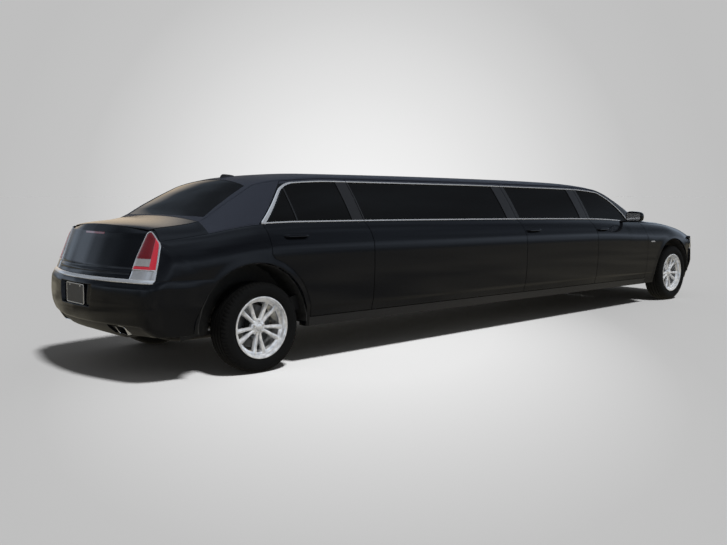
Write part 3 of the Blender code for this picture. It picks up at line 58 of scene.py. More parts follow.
# axle, distance ahead, heights of sill, belt, rail, top, half-widths of side, belt, rail
sections = [
    (rearX, -1.107, 0.250, 0.880, 0.940, 0.975, 0.840, 0.700, 0.600),
    (rearX, -0.920, 0.240, 0.915, 0.990, 1.022, 0.855, 0.730, 0.625),
    (rearX, -0.770, 0.230, 0.932, 1.012, 1.048, 0.878, 0.762, 0.640),
    (rearX, -0.400, 0.220, 0.978, 1.062, 1.096, 0.935, 0.795, 0.655),
    (rearX, -0.200, 0.215, 1.010, 1.170, 1.215, 0.945, 0.803, 0.635),
    (rearX, 0.000, 0.210, 1.035, 1.278, 1.335, 0.950, 0.806, 0.600),
    (rearX, 0.160, 0.208, 1.042, 1.352, 1.402, 0.9525, 0.808, 0.562),
    (rearX, 0.450, 0.205, 1.047, 1.400, 1.440, 0.9525, 0.8085, 0.540),
    (rearX, 1.000, 0.205, 1.047, 1.430, 1.470, 0.9525, 0.8085, 0.525),
    (rearX, 2.600, 0.205, 1.042, 1.430, 1.478, 0.9525, 0.807, 0.525),
    (frontX, -2.800, 0.205, 1.034, 1.422, 1.474, 0.9525, 0.804, 0.532),
    (frontX, -1.880, 0.205, 1.024, 1.410, 1.462, 0.9525, 0.800, 0.548),
    (frontX, -1.460, 0.205, 1.012, 1.382, 1.440, 0.9520, 0.798, 0.572),
    (frontX, -1.270, 0.205, 1.003, 1.335, 1.386, 0.9515, 0.797, 0.600),
    (frontX, -1.130, 0.205, 0.994, 1.270, 1.320, 0.9510, 0.796, 0.635),
    (frontX, -0.970, 0.205, 0.985, 1.188, 1.243, 0.9505, 0.796, 0.672),
    (frontX, -0.800, 0.205, 0.978, 1.098, 1.160, 0.9500, 0.797, 0.703),
    (frontX, -0.620, 0.206, 0.971, 1.014, 1.072, 0.9500, 0.798, 0.722),
    (frontX, -0.480, 0.207, 0.964, 0.984, 1.004, 0.9500, 0.799, 0.728),
    (frontX, -0.100, 0.210, 0.938, 0.958, 0.984, 0.9480, 0.797, 0.705),
    (frontX, 0.240, 0.210, 0.890, 0.912, 0.948, 0.9400, 0.785, 0.665),
    (frontX, 0.480, 0.215, 0.846, 0.874, 0.912, 0.9120, 0.760, 0.630),
    (frontX, 0.700, 0.225, 0.790, 0.822, 0.864, 0.8500, 0.700, 0.595),
    (frontX, 0.884, 0.250, 0.715, 0.750, 0.790, 0.8000, 0.640, 0.560),
]
sideForm = np.array([
    (0.000, 0.0525), (0.095, 0.0375), (0.167, 0.0285), (0.190, 0.0185), (0.256, 0.0125), (0.435, 0.0015),
    (0.565, 0.0000), (0.708, 0.0020), (0.792, 0.0105), (0.863, 0.0365), (0.935, 0.0775), (1.000, 0.1475),
])
rearPlan = np.array([
    (0.000, 0.00), (0.010, 0.20), (0.040, 0.40), (0.096, 0.62), (0.122, 0.71), (0.150, 0.79), (0.185, 0.845),
    (0.250, 0.872), (0.340, 0.888), (0.520, 0.922), (0.720, 0.942),
])
frontPlan = np.array([
    (0.000, 0.00), (0.014, 0.20), (0.054, 0.40), (0.122, 0.60), (0.176, 0.70), (0.238, 0.795), (0.292, 0.855),
    (0.348, 0.897), (0.414, 0.930), (0.480, 0.940),
])
rearProfile = np.array([
    (0.235, 0.105), (0.300, 0.035), (0.400, 0.002), (0.470, 0.000), (0.580, 0.006), (0.625, 0.026),
    (0.650, 0.052), (0.721, 0.084), (0.800, 0.116), (0.932, 0.169), (1.012, 0.2005), (1.040, 0.222),
])
frontProfile = np.array([
    (0.205, 0.140), (0.280, 0.054), (0.380, 0.006), (0.400, 0.000), (0.470, 0.000), (0.600, 0.008),
    (0.700, 0.018), (0.770, 0.030), (0.815, 0.062),
])


def smoothCurve(knots, values, at):
    # Monotone cubic through the knots; values may hold several columns.
    values = np.asarray(values, float)
    flat = values.ndim == 1
    if flat:
        values = values[:, None]
    step = np.diff(knots)[:, None]
    rise = np.diff(values, axis=0) / step
    slope = np.zeros_like(values)
    before, after = rise[:-1], rise[1:]
    same = before * after > 0
    mean = np.where(same, 2 * before * after / np.where(same, before + after, 1), 0)
    slope[1:-1] = mean
    slope[0], slope[-1] = rise[0], rise[-1]
    at = np.clip(np.asarray(at, float), knots[0], knots[-1])
    k = np.clip(np.searchsorted(knots, at) - 1, 0, len(knots) - 2)
    h = step[k, 0][..., None]
    t = ((at - knots[k])[..., None]) / h
    made = (
        (2 * t**3 - 3 * t**2 + 1) * values[k] + (t**3 - 2 * t**2 + t) * h * slope[k]
        + (3 * t**2 - 2 * t**3) * values[k + 1] + (t**3 - t**2) * h * slope[k + 1]
    )
    return made[..., 0] if flat else made


stationX = np.array([row[0] + row[1] for row in sections])
stations = np.array([row[2:] for row in sections])


def rawSkin(x, v):
    low, belt, rail, top, side, beltW, railW = np.moveaxis(smoothCurve(stationX, stations, x), -1, 0)
    inset = smoothCurve(sideForm[:, 0], sideForm[:, 1], np.clip(v, 0, 1))
    upper = np.clip((v - 0.6) / 0.4, 0, 1)
    lowHalf = side - inset * (1 + upper * ((side - beltW) / 0.1475 - 1))
    g = np.clip(v - 1, 0, 1)
    glassHalf = beltW + g * (railW - beltW) + 0.048 * g * (1 - g)
    w = np.clip(3 - v, 0, 1)
    half = np.where(v <= 1, lowHalf, np.where(v <= 2, glassHalf, w * railW))
    upperZ = np.where(v <= 2, belt + g * (rail - belt), top - (top - rail) * w * w)
    z = np.where(v <= 1, low + v * (belt - low), upperZ)
    return half, z


def skin(x, v):
    # The section rounded off: an average over a short reach of v, shorter near the sill's crease.
    x, v = np.broadcast_arrays(np.asarray(x, float), np.asarray(v, float))
    reach = np.interp(v, [0.4, 0.8, 1.6, 2.0], [0.004, 0.012, 0.014, 0.030])
    half, z, total = 0, 0, 0
    for k, weight in ((-2, 1), (-1, 2), (0, 3), (1, 2), (2, 1)):
        h, s = rawSkin(x, np.clip(v + k * reach, 0, 3))
        half, z, total = half + weight * h, z + weight * s, total + weight
    exact = rawSkin(x, v)
    keep = np.where(v > 2.9, 1.0, 0.0)
    return half / total * (1 - keep) + exact[0] * keep, z / total


def level(x, z):
    low, belt, rail = np.moveaxis(smoothCurve(stationX, stations, x), -1, 0)[:3]
    return np.where(z <= belt, (z - low) / (belt - low), 1 + (z - belt) / (rail - belt))


def inwardTurn(x, v):
    # Depth of a panel points inward on the sides and down on the top, behind the roof and ahead of the doors.
    marks = [roofRear - 0.005, roofRear - 0.001, pillarFoot - 0.0025, pillarFoot + 0.0025]
    tall = np.interp(x, marks, [0, 1, 1, 0])
    low = np.interp(v, [1.05, 1.6], [0, 1])
    high = np.interp(v, [2.0, 2.15], [0, 1])
    return math.pi / 2 * (low + (high - low) * tall)


def skinPoints(x, v, sign, depth=0.0):
    x, v, sign, depth = np.broadcast_arrays(*[np.asarray(a, float) for a in (x, v, sign, depth)])
    half, z = skin(x, v)
    angle = inwardTurn(x, v)
    return np.stack([x, sign * (half - np.cos(angle) * depth), z - np.sin(angle) * depth], -1)


def wall(v):
    return np.interp(v, [0.9, 1.02], [0.088, 0.034])


endForms = {"rear": (rearProfile, rearPlan), "front": (frontProfile, frontPlan)}


def profileBack(end, z):
    # How far an end's face lies in from its outermost point at a height.
    profile = endForms[end][0]
    return smoothCurve(profile[:, 0], profile[:, 1], z)


def planBack(end, half):
    plan = endForms[end][1]
    return smoothCurve(plan[:, 1], plan[:, 0], half)


def planHalf(end, back):
    plan = endForms[end][1]
    return smoothCurve(plan[:, 0], plan[:, 1], back)


def endX(end, z, half):
    back = profileBack(end, z) + planBack(end, half)
    return tailX + back if end == "rear" else noseX - back


def toWorld(points):
    x, y, z = np.moveaxis(np.asarray(points, float), -1, 0)
    return np.stack([x * cosRake + (z - pivotHeight) * sinRake, y, z * cosRake - x * sinRake + restLift], -1)


# Materials
def addNode(tree, kind, inputs=None, **settings):
    # A new shader node; an input may be a value or another node's output.
    made = tree.nodes.new("ShaderNode" + kind)
    for name, value in settings.items():
        setattr(made, name, value)
    for socket, value in (inputs or {}).items():
        if isinstance(value, bpy.types.NodeSocket):
            tree.links.new(value, made.inputs[socket])
        else:
            made.inputs[socket].default_value = value
    return made


def colourRamp(tree, value, stops):
    ramp = addNode(tree, "ValToRGB", {"Fac": value})
    marks = ramp.color_ramp.elements
    marks[0].position, marks[1].position = stops[0][0], stops[-1][0]
    marks[0].color, marks[1].color = (*stops[0][1], 1), (*stops[-1][1], 1)
    for position, colour in stops[1:-1]:
        marks.new(position).color = (*colour, 1)
    return ramp.outputs["Color"]


def mapped(tree, value, low, high, toLow=0.0, toHigh=1.0):
    inputs = {"Value": value, "From Min": low, "From Max": high, "To Min": toLow, "To Max": toHigh}
    return addNode(tree, "MapRange", inputs).outputs["Result"]


def material(name, colour, rough, metal=0.0, coat=0.0, coatRough=0.03, ior=1.5, transmission=0.0, shine=0.5):
    made = bpy.data.materials.new(name)
    made.use_nodes = True
    shader = made.node_tree.nodes["Principled BSDF"]
    for socket, value in (("Base Color", (*colour, 1)), ("Roughness", rough), ("Metallic", metal),
                          ("Coat Weight", coat), ("Coat Roughness", coatRough), ("IOR", ior),
                          ("Transmission Weight", transmission), ("Specular IOR Level", shine)):
        shader.inputs[socket].default_value = value
    return made


def withNoise(made, scale, colours=None, rough=None, bump=0.0, distance=0.001, stretch=(1, 1, 1), detail=4.0,
              cells=False):
    # Adds a noise, or cells, on Object coordinates that varies colour, roughness and height.
    tree = made.node_tree
    shader = tree.nodes["Principled BSDF"]
    place = addNode(tree, "TexCoord").outputs["Object"]
    place = addNode(tree, "Mapping", {"Scale": stretch, "Vector": place}).outputs["Vector"]
    if cells:
        value = addNode(tree, "TexVoronoi", {"Scale": scale, "Vector": place}).outputs["Distance"]
    else:
        value = addNode(tree, "TexNoise", {"Scale": scale, "Detail": detail, "Vector": place}).outputs["Fac"]
    if colours:
        tree.links.new(colourRamp(tree, value, list(zip((0.35, 0.65), colours))), shader.inputs["Base Color"])
    if rough:
        tree.links.new(mapped(tree, value, 0.3, 0.7, *rough), shader.inputs["Roughness"])
    if bump:
        height = addNode(tree, "Bump", {"Strength": bump, "Distance": distance, "Height": value})
        tree.links.new(height.outputs["Normal"], shader.inputs["Normal"])
    return made


paint = withNoise(material("paint", (0.004, 0.0045, 0.006), 0.06, shine=0.27), 900.0,
                  rough=(0.08, 0.16), detail=2.0)
vinyl = withNoise(material("roofVinyl", (0.016, 0.018, 0.026), 0.5), 420.0,
                  colours=((0.013, 0.015, 0.022), (0.026, 0.029, 0.040)), rough=(0.42, 0.62), bump=0.5,
                  distance=0.0006, cells=True)
pillarFinish = withNoise(material("pillarFinish", (0.014, 0.014, 0.015), 0.38), 300.0, rough=(0.30, 0.44))
chrome = withNoise(material("brightTrim", (0.90, 0.90, 0.91), 0.08, metal=0.78), 60.0, rough=(0.05, 0.12))
# Bright wheel metal; its noise paints lighter and darker patches into the colour: painted reflections and glints.
wheelPolishPaintedGlints = withNoise(material("polishedWheelPaintedGlints", (0.95, 0.95, 0.96), 0.07, metal=0.50), 24.0, detail=2.0,
                        colours=((0.66, 0.67, 0.69), (1.0, 1.0, 1.0)), rough=(0.04, 0.10))
darkMetal = withNoise(material("darkMetal", (0.05, 0.05, 0.052), 0.45, metal=0.7), 30.0,
                      colours=((0.030, 0.030, 0.031), (0.075, 0.072, 0.070)), rough=(0.38, 0.6), bump=0.2)
discFinish = withNoise(material("brakeDisc", (0.22, 0.22, 0.22), 0.3, metal=1.0), 25.0, rough=(0.25, 0.42))
rubber = withNoise(material("tyreRubber", (0.006, 0.006, 0.006), 0.75, shine=0.2), 160.0,
                   colours=((0.003, 0.003, 0.003), (0.008, 0.0078, 0.0075)), rough=(0.65, 0.85), bump=0.25)
blackPlastic = withNoise(material("blackPlastic", (0.012, 0.012, 0.013), 0.45), 500.0, rough=(0.38, 0.55),
                         bump=0.15, distance=0.0003)
sealRubber = withNoise(material("sealRubber", (0.008, 0.008, 0.008), 0.6), 200.0, rough=(0.5, 0.7))
underside = withNoise(material("underside", (0.018, 0.018, 0.018), 0.7), 45.0,
                      colours=((0.012, 0.012, 0.012), (0.030, 0.029, 0.027)), rough=(0.6, 0.85), bump=0.3,
                      distance=0.002)
darkGlass = withNoise(material("privacyGlass", (0.0040, 0.0040, 0.0041), 0.03, shine=0.12), 3.0,
                      rough=(0.02, 0.05), detail=1.0)
clearGlass = material("lampGlass", (0.95, 0.96, 0.97), 0.02, transmission=1.0, ior=1.45)
redLens = withNoise(material("redLens", (0.30, 0.004, 0.006), 0.08, coat=1.0), 260.0,
                    colours=((0.48, 0.020, 0.036), (0.66, 0.032, 0.052)), rough=(0.05, 0.12))
deepRedLens = withNoise(material("deepRedLens", (0.16, 0.004, 0.008), 0.10, coat=1.0), 260.0,
                        colours=((0.10, 0.004, 0.007), (0.20, 0.008, 0.012)), rough=(0.06, 0.14))
greyLens = withNoise(material("greyLens", (0.30, 0.30, 0.31), 0.12, coat=1.0), 200.0,
                     colours=((0.27, 0.27, 0.28), (0.36, 0.36, 0.37)), rough=(0.08, 0.16))
leather = withNoise(material("blackLeather", (0.050, 0.047, 0.045), 0.42), 260.0,
                    colours=((0.014, 0.013, 0.013), (0.030, 0.028, 0.027)), rough=(0.40, 0.6), bump=0.35,
                    distance=0.0008, cells=True)
trimCloth = withNoise(material("innerTrim", (0.022, 0.021, 0.021), 0.8), 700.0,
                      colours=((0.016, 0.015, 0.015), (0.032, 0.031, 0.030)), rough=(0.7, 0.9), bump=0.3,
                      distance=0.0006)
wood = withNoise(material("barWood", (0.14, 0.06, 0.028), 0.25, coat=0.8), 6.0,
                 colours=((0.09, 0.035, 0.015), (0.22, 0.10, 0.045)), rough=(0.2, 0.35), stretch=(0.3, 3, 3),
                 bump=0.1)
plateFinish = withNoise(material("blankPlate", (0.045, 0.046, 0.050), 0.35), 300.0, rough=(0.3, 0.45))
print("materials made")


# Mesh building
def makeMesh(name, verts, quads, materials, zones=None, body="chassis", slotName=None, replaced=(), sharp=32,
             bevel=0.0, world=True):
    # Quads is an array of four vertex numbers a face, where a repeated last number marks a triangle.
    verts = np.asarray(verts, float).reshape(-1, 3)
    if world:
        verts = toWorld(verts)
    quads = np.asarray(quads, int)
    order, back = np.unique(np.round(verts, 6), axis=0, return_index=True, return_inverse=True)[1:]
    verts, quads = verts[order], back.reshape(-1)[quads]
    faces, kept = [], []
    for k, face in enumerate(quads.tolist()):
        ring = [a for a, b in zip(face, face[1:] + face[:1]) if a != b]
        if len(ring) >= 3 and len(set(ring)) == len(ring):
            faces.append(ring)
            kept.append(k)
    mesh = bpy.data.meshes.new(name)
    mesh.from_pydata(verts.tolist(), [], faces)
    made = bpy.data.objects.new(name, mesh)
    bpy.context.scene.collection.objects.link(made)
    for one in materials:
        mesh.materials.append(one)
    if zones is not None:
        mesh.polygons.foreach_set("material_index", np.asarray(zones, int)[kept].astype(np.int32))
    mesh.polygons.foreach_set("use_smooth", np.ones(len(faces), bool))
    mesh.update()
    mesh.set_sharp_from_angle(angle=math.radians(sharp))
    if bevel:
        rounded = made.modifiers.new("edges", "BEVEL")
        rounded.width = bevel
        rounded.segments = 2
        rounded.limit_method = "ANGLE"
        rounded.angle_limit = math.radians(50)
        rounded.use_clamp_overlap = True
        evened = made.modifiers.new("normals", "WEIGHTED_NORMAL")
        evened.keep_sharp = False
    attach(made, body)
    if replaced:
        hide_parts(*replaced)
    return made


def gridFaces(shape, start=0, mask=None):
    number = np.arange(shape[0] * shape[1]).reshape(shape) + start
    quads = np.stack([number[:-1, :-1], number[1:, :-1], number[1:, 1:], number[:-1, 1:]], -1)
    return quads.reshape(-1, 4) if mask is None else quads[mask]


def ringFaces(count, size, closed=False):
    # Faces between rings of points, each ring closed on itself; closed joins the last ring to the first.
    number = np.arange(count * size).reshape(count, size)
    if closed:
        number = np.concatenate([number, number[:1]])
    number = np.concatenate([number, number[:, :1]], 1)
    quads = np.stack([number[:-1, :-1], number[1:, :-1], number[1:, 1:], number[:-1, 1:]], -1)
    return quads.reshape(-1, 4)


def capped(rings):
    # Rings of points as a closed solid, with a fan over each end.
    rings = np.asarray(rings, float)
    count, size = rings.shape[:2]
    verts = np.concatenate([rings.reshape(-1, 3), [rings[0].mean(0)], [rings[-1].mean(0)]])
    near, after = np.arange(size), np.roll(np.arange(size), -1)
    far = near + (count - 1) * size
    first, last = np.full(size, count * size), np.full(size, count * size + 1)
    return verts, np.concatenate([ringFaces(count, size), np.stack([near, after, first, first], -1),
                                  np.stack([after + far[0], far, last, last], -1)])


def circle(radius, count, high=None):
    angles = np.arange(count) * 2 * math.pi / count
    return [(radius * math.cos(a), (high or radius) * math.sin(a)) for a in angles]


def thicken(outer, inner, quads):
    # A closed sheet: outer faces (zone 0), inner faces (1) and walls along every open edge (2).
    count = len(outer)
    edges = np.stack([quads, np.roll(quads, -1, 1)], -1).reshape(-1, 2)
    edges = edges[edges[:, 0] != edges[:, 1]]
    first, uses = np.unique(np.sort(edges, 1), axis=0, return_index=True, return_counts=True)[1:]
    rim = edges[first[uses == 1]]
    walls = np.stack([rim[:, 1], rim[:, 0], rim[:, 0] + count, rim[:, 1] + count], -1)
    faces = np.concatenate([quads, quads[:, ::-1] + count, walls])
    zones = np.repeat([0, 1, 2], [len(quads), len(quads), len(walls)])
    verts = np.concatenate([outer, inner])
    a, b, c, d = (verts[faces[:, k]] for k in range(4))
    volume = np.sum(a * np.cross(b, c)) + np.sum(a * np.cross(c, d))
    return verts, faces if volume > 0 else faces[:, ::-1], zones


def solidSheet(outer, inner, mask=None):
    return thicken(outer.reshape(-1, 3), inner.reshape(-1, 3), gridFaces(outer.shape[:2], 0, mask))


def skinSheet(name, patches, sign, depth, materials=None, recess=0.0, lift=None, bevel=0.0022, trim=None,
              **options):
    # Patches are (x, v, mask, zone) grids on one side's skin, or end with a grid of signs; where neighbouring
    # patches meet, their equal points are joined.
    x = np.concatenate([patch[0].ravel() for patch in patches])
    v = np.concatenate([patch[1].ravel() for patch in patches])
    signs = np.concatenate([np.broadcast_to(sign if len(patch) < 5 else patch[4], patch[0].shape).ravel()
                            for patch in patches])
    quads, kinds, start = [], [], 0
    for patch in patches:
        shape, mask, zone = patch[0].shape, patch[2], patch[3]
        mask = np.ones((shape[0] - 1, shape[1] - 1), bool) if mask is None else mask
        quads.append(gridFaces(shape, start, mask))
        kinds.append(np.broadcast_to(zone, mask.shape)[mask])
        start += shape[0] * shape[1]
    quads, kinds = np.concatenate(quads), np.concatenate(kinds)
    key = np.round(np.stack([x, v * np.where(v > 2.9999, 0, signs) + np.where(v > 2.9999, 9, 0)], -1), 5)
    keep, back = np.unique(key, axis=0, return_index=True, return_inverse=True)[1:]
    x, v, signs, quads = x[keep], v[keep], signs[keep], back.reshape(-1)[quads]
    deep = depth(x, v) if callable(depth) else np.full(x.shape, depth)
    sunk = recess(x, v) if callable(recess) else np.full(x.shape, recess)
    outer = skinPoints(x, v, signs, sunk)
    inner = skinPoints(x, v, signs, sunk + deep)
    if lift is not None:
        outer = outer + lift(x, v, signs)
    if trim is not None:
        outer, inner = trim(outer, 0.0), trim(inner, 0.006)
    verts, faces, zones = thicken(outer, inner, quads)
    outside = np.concatenate([kinds, kinds, np.zeros(len(faces) - 2 * len(kinds), int)])
    materials = materials or [paint, trimCloth, paint, pillarFinish, vinyl]
    return makeMesh(name, verts, faces, materials, np.where(zones == 0, outside, zones), bevel=bevel, **options)


def crossed(rows, columns):
    return np.meshgrid(rows, columns, indexing="ij")


def spaced(marks, step):
    # Columns between marks, each stretch divided evenly by about the step.
    line = [marks[0]]
    for a, b in zip(marks, marks[1:]):
        count = max(int(math.ceil(abs(b - a) / step)), 1)
        line += [a + (b - a) * (k + 1) / count for k in range(count)]
    return np.array(line)


lowLevels = np.array([
    0.095, 0.130, 0.158, 0.168, 0.178, 0.190, 0.205, 0.230, 0.256, 0.31, 0.37, 0.435, 0.50, 0.565, 0.63, 0.68,
    0.72, 0.755, 0.79, 0.82, 0.85, 0.88, 0.91, 0.935, 0.955, 0.970, 0.982, 0.992, 1.0, 1.008, 1.018, 1.03,
])
glassLevels = np.array([1.03, 1.10, 1.19, 1.28, 1.37, 1.46, 1.56, 1.66, 1.75, 1.82, 1.86, 1.885])
railLevels = np.array([1.885, 1.90, 1.92, 1.94, 1.955])
allLevels = np.concatenate([lowLevels, glassLevels[1:], railLevels[1:]])


def valueAt(edge, v):
    return float(edge(v)) if callable(edge) else float(edge)


def rowsOf(levels, like):
    return np.broadcast_to(levels[:, None], like.shape).copy()


def grid(edges, levels, step=0.10):
    # Columns between edges (numbers or functions of v), with the count set by the longest stretch.
    lines = [np.array([valueAt(edge, v) for v in levels]) for edge in edges]
    made, owner = [lines[0]], []
    for k, (a, b) in enumerate(zip(lines, lines[1:])):
        count = max(int(math.ceil(np.max(np.abs(b - a)) / step)), 1)
        for j in range(count):
            made.append(a + (b - a) * (j + 1) / count)
            owner.append(k)
    x = np.stack(made, 1)
    return x, rowsOf(levels, x), np.array(owner)


rearArch = (rearX - 0.07, 0.240, 0.510)
frontArch = (frontX - 0.04, 0.305, 0.455)


def rearDoorRear(v):
    if v > 1:
        return rearX + 0.050 + 0.40 * (v - 1)
    reach = 0.555**2 - (float(skin(rearArch[0], v)[1]) - rearArch[1])**2
    return max(rearArch[0] + math.sqrt(max(reach, 0)), rearX + 0.080)


def frontDoorEdge(v):
    return float(np.interp(v, [1.0, 1.03], [frontDoorFront, pillarFoot]))


def rearGlassRear(v):
    return rearX + 0.125 + 0.39 * (v - 1)


def frontGlassFront(v):
    knots = np.array([1.03, 1.35, 1.66, 1.82, 1.885])
    return frontX + float(smoothCurve(knots, [-0.985, -1.030, -1.130, -1.270, -1.390], v))


def shifted(edge, by):
    return (lambda v: edge(v) + by) if callable(edge) else edge + by


# Doors and stretched panels: name, sign, rear edge, front edge, windows as (name, (rear edge, front edge))
longWindow = (rearDoorFront + 0.020, fifthRear - 0.155)
fifthWindow = (fifthRear + 0.060, fifthFront - 0.150)
rearWindowSide = (rearGlassRear, rearX + 1.036)
frontWindowSide = (fifthFront + 0.050, frontGlassFront)
sidePanels = [
    ("door_rear_right", -1, rearDoorRear, rearDoorFront, [("glass_rear_right", rearWindowSide)]),
    ("door_rear_left", 1, rearDoorRear, rearDoorFront, [("glass_rear_left", rearWindowSide)]),
    ("door_fifth_right", -1, fifthRear, fifthFront, [("glass_fifth_right", fifthWindow)]),
    ("door_front_right", -1, fifthFront, frontDoorEdge, [("glass_front_right", frontWindowSide)]),
    ("door_front_left", 1, fifthFront, frontDoorEdge, [("glass_front_left", frontWindowSide)]),
    ("side_panel_right", -1, rearDoorFront, fifthRear, [("side_glass_right", longWindow)]),
    ("side_panel_left", 1, rearDoorFront, fifthFront,
     [("side_glass_left_rear", longWindow), ("side_glass_left_front", fifthWindow)]),
]


def follow(edge, rear, front):
    # A window's edge, carried on below the glass in the same share of the panel's length.
    at, start, end = (valueAt(one, glassLow) for one in (edge, rear, front))
    share = (at - start) / (end - start)
    return lambda v: (valueAt(edge, v) if v >= glassLow
                      else valueAt(rear, v) + share * (valueAt(front, v) - valueAt(rear, v)))


for node, sign, rear, front, windows in sidePanels:
    carrier = node if node.startswith("door") else "chassis"
    edges = [shifted(rear, halfGap)]
    for _, (glassRear, glassFront) in windows:
        edges += [follow(glassRear, rear, front), follow(glassFront, rear, front)]
    edges.append(shifted(front, -halfGap))
    x, v, owner = grid(edges, allLevels)
    inGlass = (allLevels[:-1] >= glassLow - 1e-6) & (allLevels[1:] <= glassTop + 1e-6)
    mask = ~(inGlass[:, None] & (owner % 2 == 1)[None, :])
    overGlass = allLevels[:-1] >= 1.9 - 1e-6
    pillar = (allLevels[:-1] >= glassLow - 1e-6)[:, None] & (x[:-1, 1:] > rearX + 0.9)
    zone = np.where(overGlass[:, None], 4, np.where(pillar, 3, 0))
    skinSheet(node + "Skin", [(x, v, mask, zone)], sign, lambda x, v: wall(v), body=carrier, slotName=node,
              replaced=[node])
    for pane, (glassRear, glassFront) in windows:
        gx, gv, _ = grid([shifted(glassRear, 0.0006), shifted(glassFront, -0.0006)], glassLevels, 0.06)
        gv[0], gv[-1] = glassLow + 0.002, glassTop - 0.002
        skinSheet(pane + "Pane", [(gx, gv, None, 0)], sign, 0.005, [darkGlass, darkGlass, darkGlass],
                  recess=0.0085, body=carrier, slotName=pane, replaced=[pane], bevel=0.0)
print("doors and side panels made")


archShares = np.array([0, 0.03, 0.08, 0.14, 0.22, 0.32, 0.44, 0.58, 0.72, 0.86, 1.0])


def archSpokes(outline, arch):
    # Rows from the arch's edge out to an outline of (x, z) points, along rays from its centre, as x and v.
    cx, cz, radius = arch
    outline = np.asarray(outline, float)
    angle = np.arctan2(outline[:, 1] - cz, outline[:, 0] - cx)
    angle = np.where(angle < -math.pi / 2, angle + 2 * math.pi, angle)
    inner = np.stack([cx + radius * np.cos(angle), cz + radius * np.sin(angle)], -1)
    points = inner[None] + (outline - inner)[None] * archShares[:, None, None]
    v = level(points[..., 0], points[..., 1])
    v[-1, np.abs(v[-1] - 1) < 2e-3] = 1.0
    return points[..., 0], v


def archFlare(arch):
    # A soft lip round the wheel arch: highest at the edge, gone after 6 cm.
    def lift(x, v, signs):
        z = skin(x, v)[1]
        off = np.hypot(x - arch[0], z - arch[1]) - arch[2]
        fade = np.clip(1 - off / 0.06, 0, 1)
        high = 0.005 * fade * fade * (3 - 2 * fade) * np.clip((z - 0.2) / 0.1, 0, 1)
        return np.stack([0 * x, signs * high, 0 * x], -1)
    return lift


def sideLine(xs, v):
    return [(x, float(skin(x, v)[1])) for x in xs]


def edgeLine(edge, levels):
    return [(float(edge(v)), float(skin(edge(v), v)[1])) for v in levels]


def arcBottom(arch, v, side):
    # Where the arch's circle meets the sill's lower edge.
    x = arch[0] + side * arch[2]
    for _ in range(12):
        z = float(skin(x, v)[1])
        x = arch[0] + side * math.sqrt(arch[2]**2 - (z - arch[1])**2)
    return x, z


quarterRear = rearX - 0.765
tailSlant = 0.100


def tailLine(z):
    # The slanted line where the quarter panel meets the lamps and the bumper.
    return quarterRear - tailSlant * np.clip((1.0 - z) / (1.0 - bumperTop), 0, 1)


def tuckTail(points, inset):
    # Near the tail the sides keep within the rounded end.
    x, y, z = np.moveaxis(points, -1, 0)
    limit = planHalf("rear", x - tailX - profileBack("rear", z)) - inset
    near = x < rearX - 0.55
    return np.stack([x, np.where(near, np.sign(y) * np.minimum(np.abs(y), limit), y), z], -1)


def meetNose(v, back):
    x = frontX + 0.7
    for _ in range(20):
        half, z = skin(x, v)
        x = min(float(endX("front", float(z), float(half))) - back, noseX - 0.02)
    return x


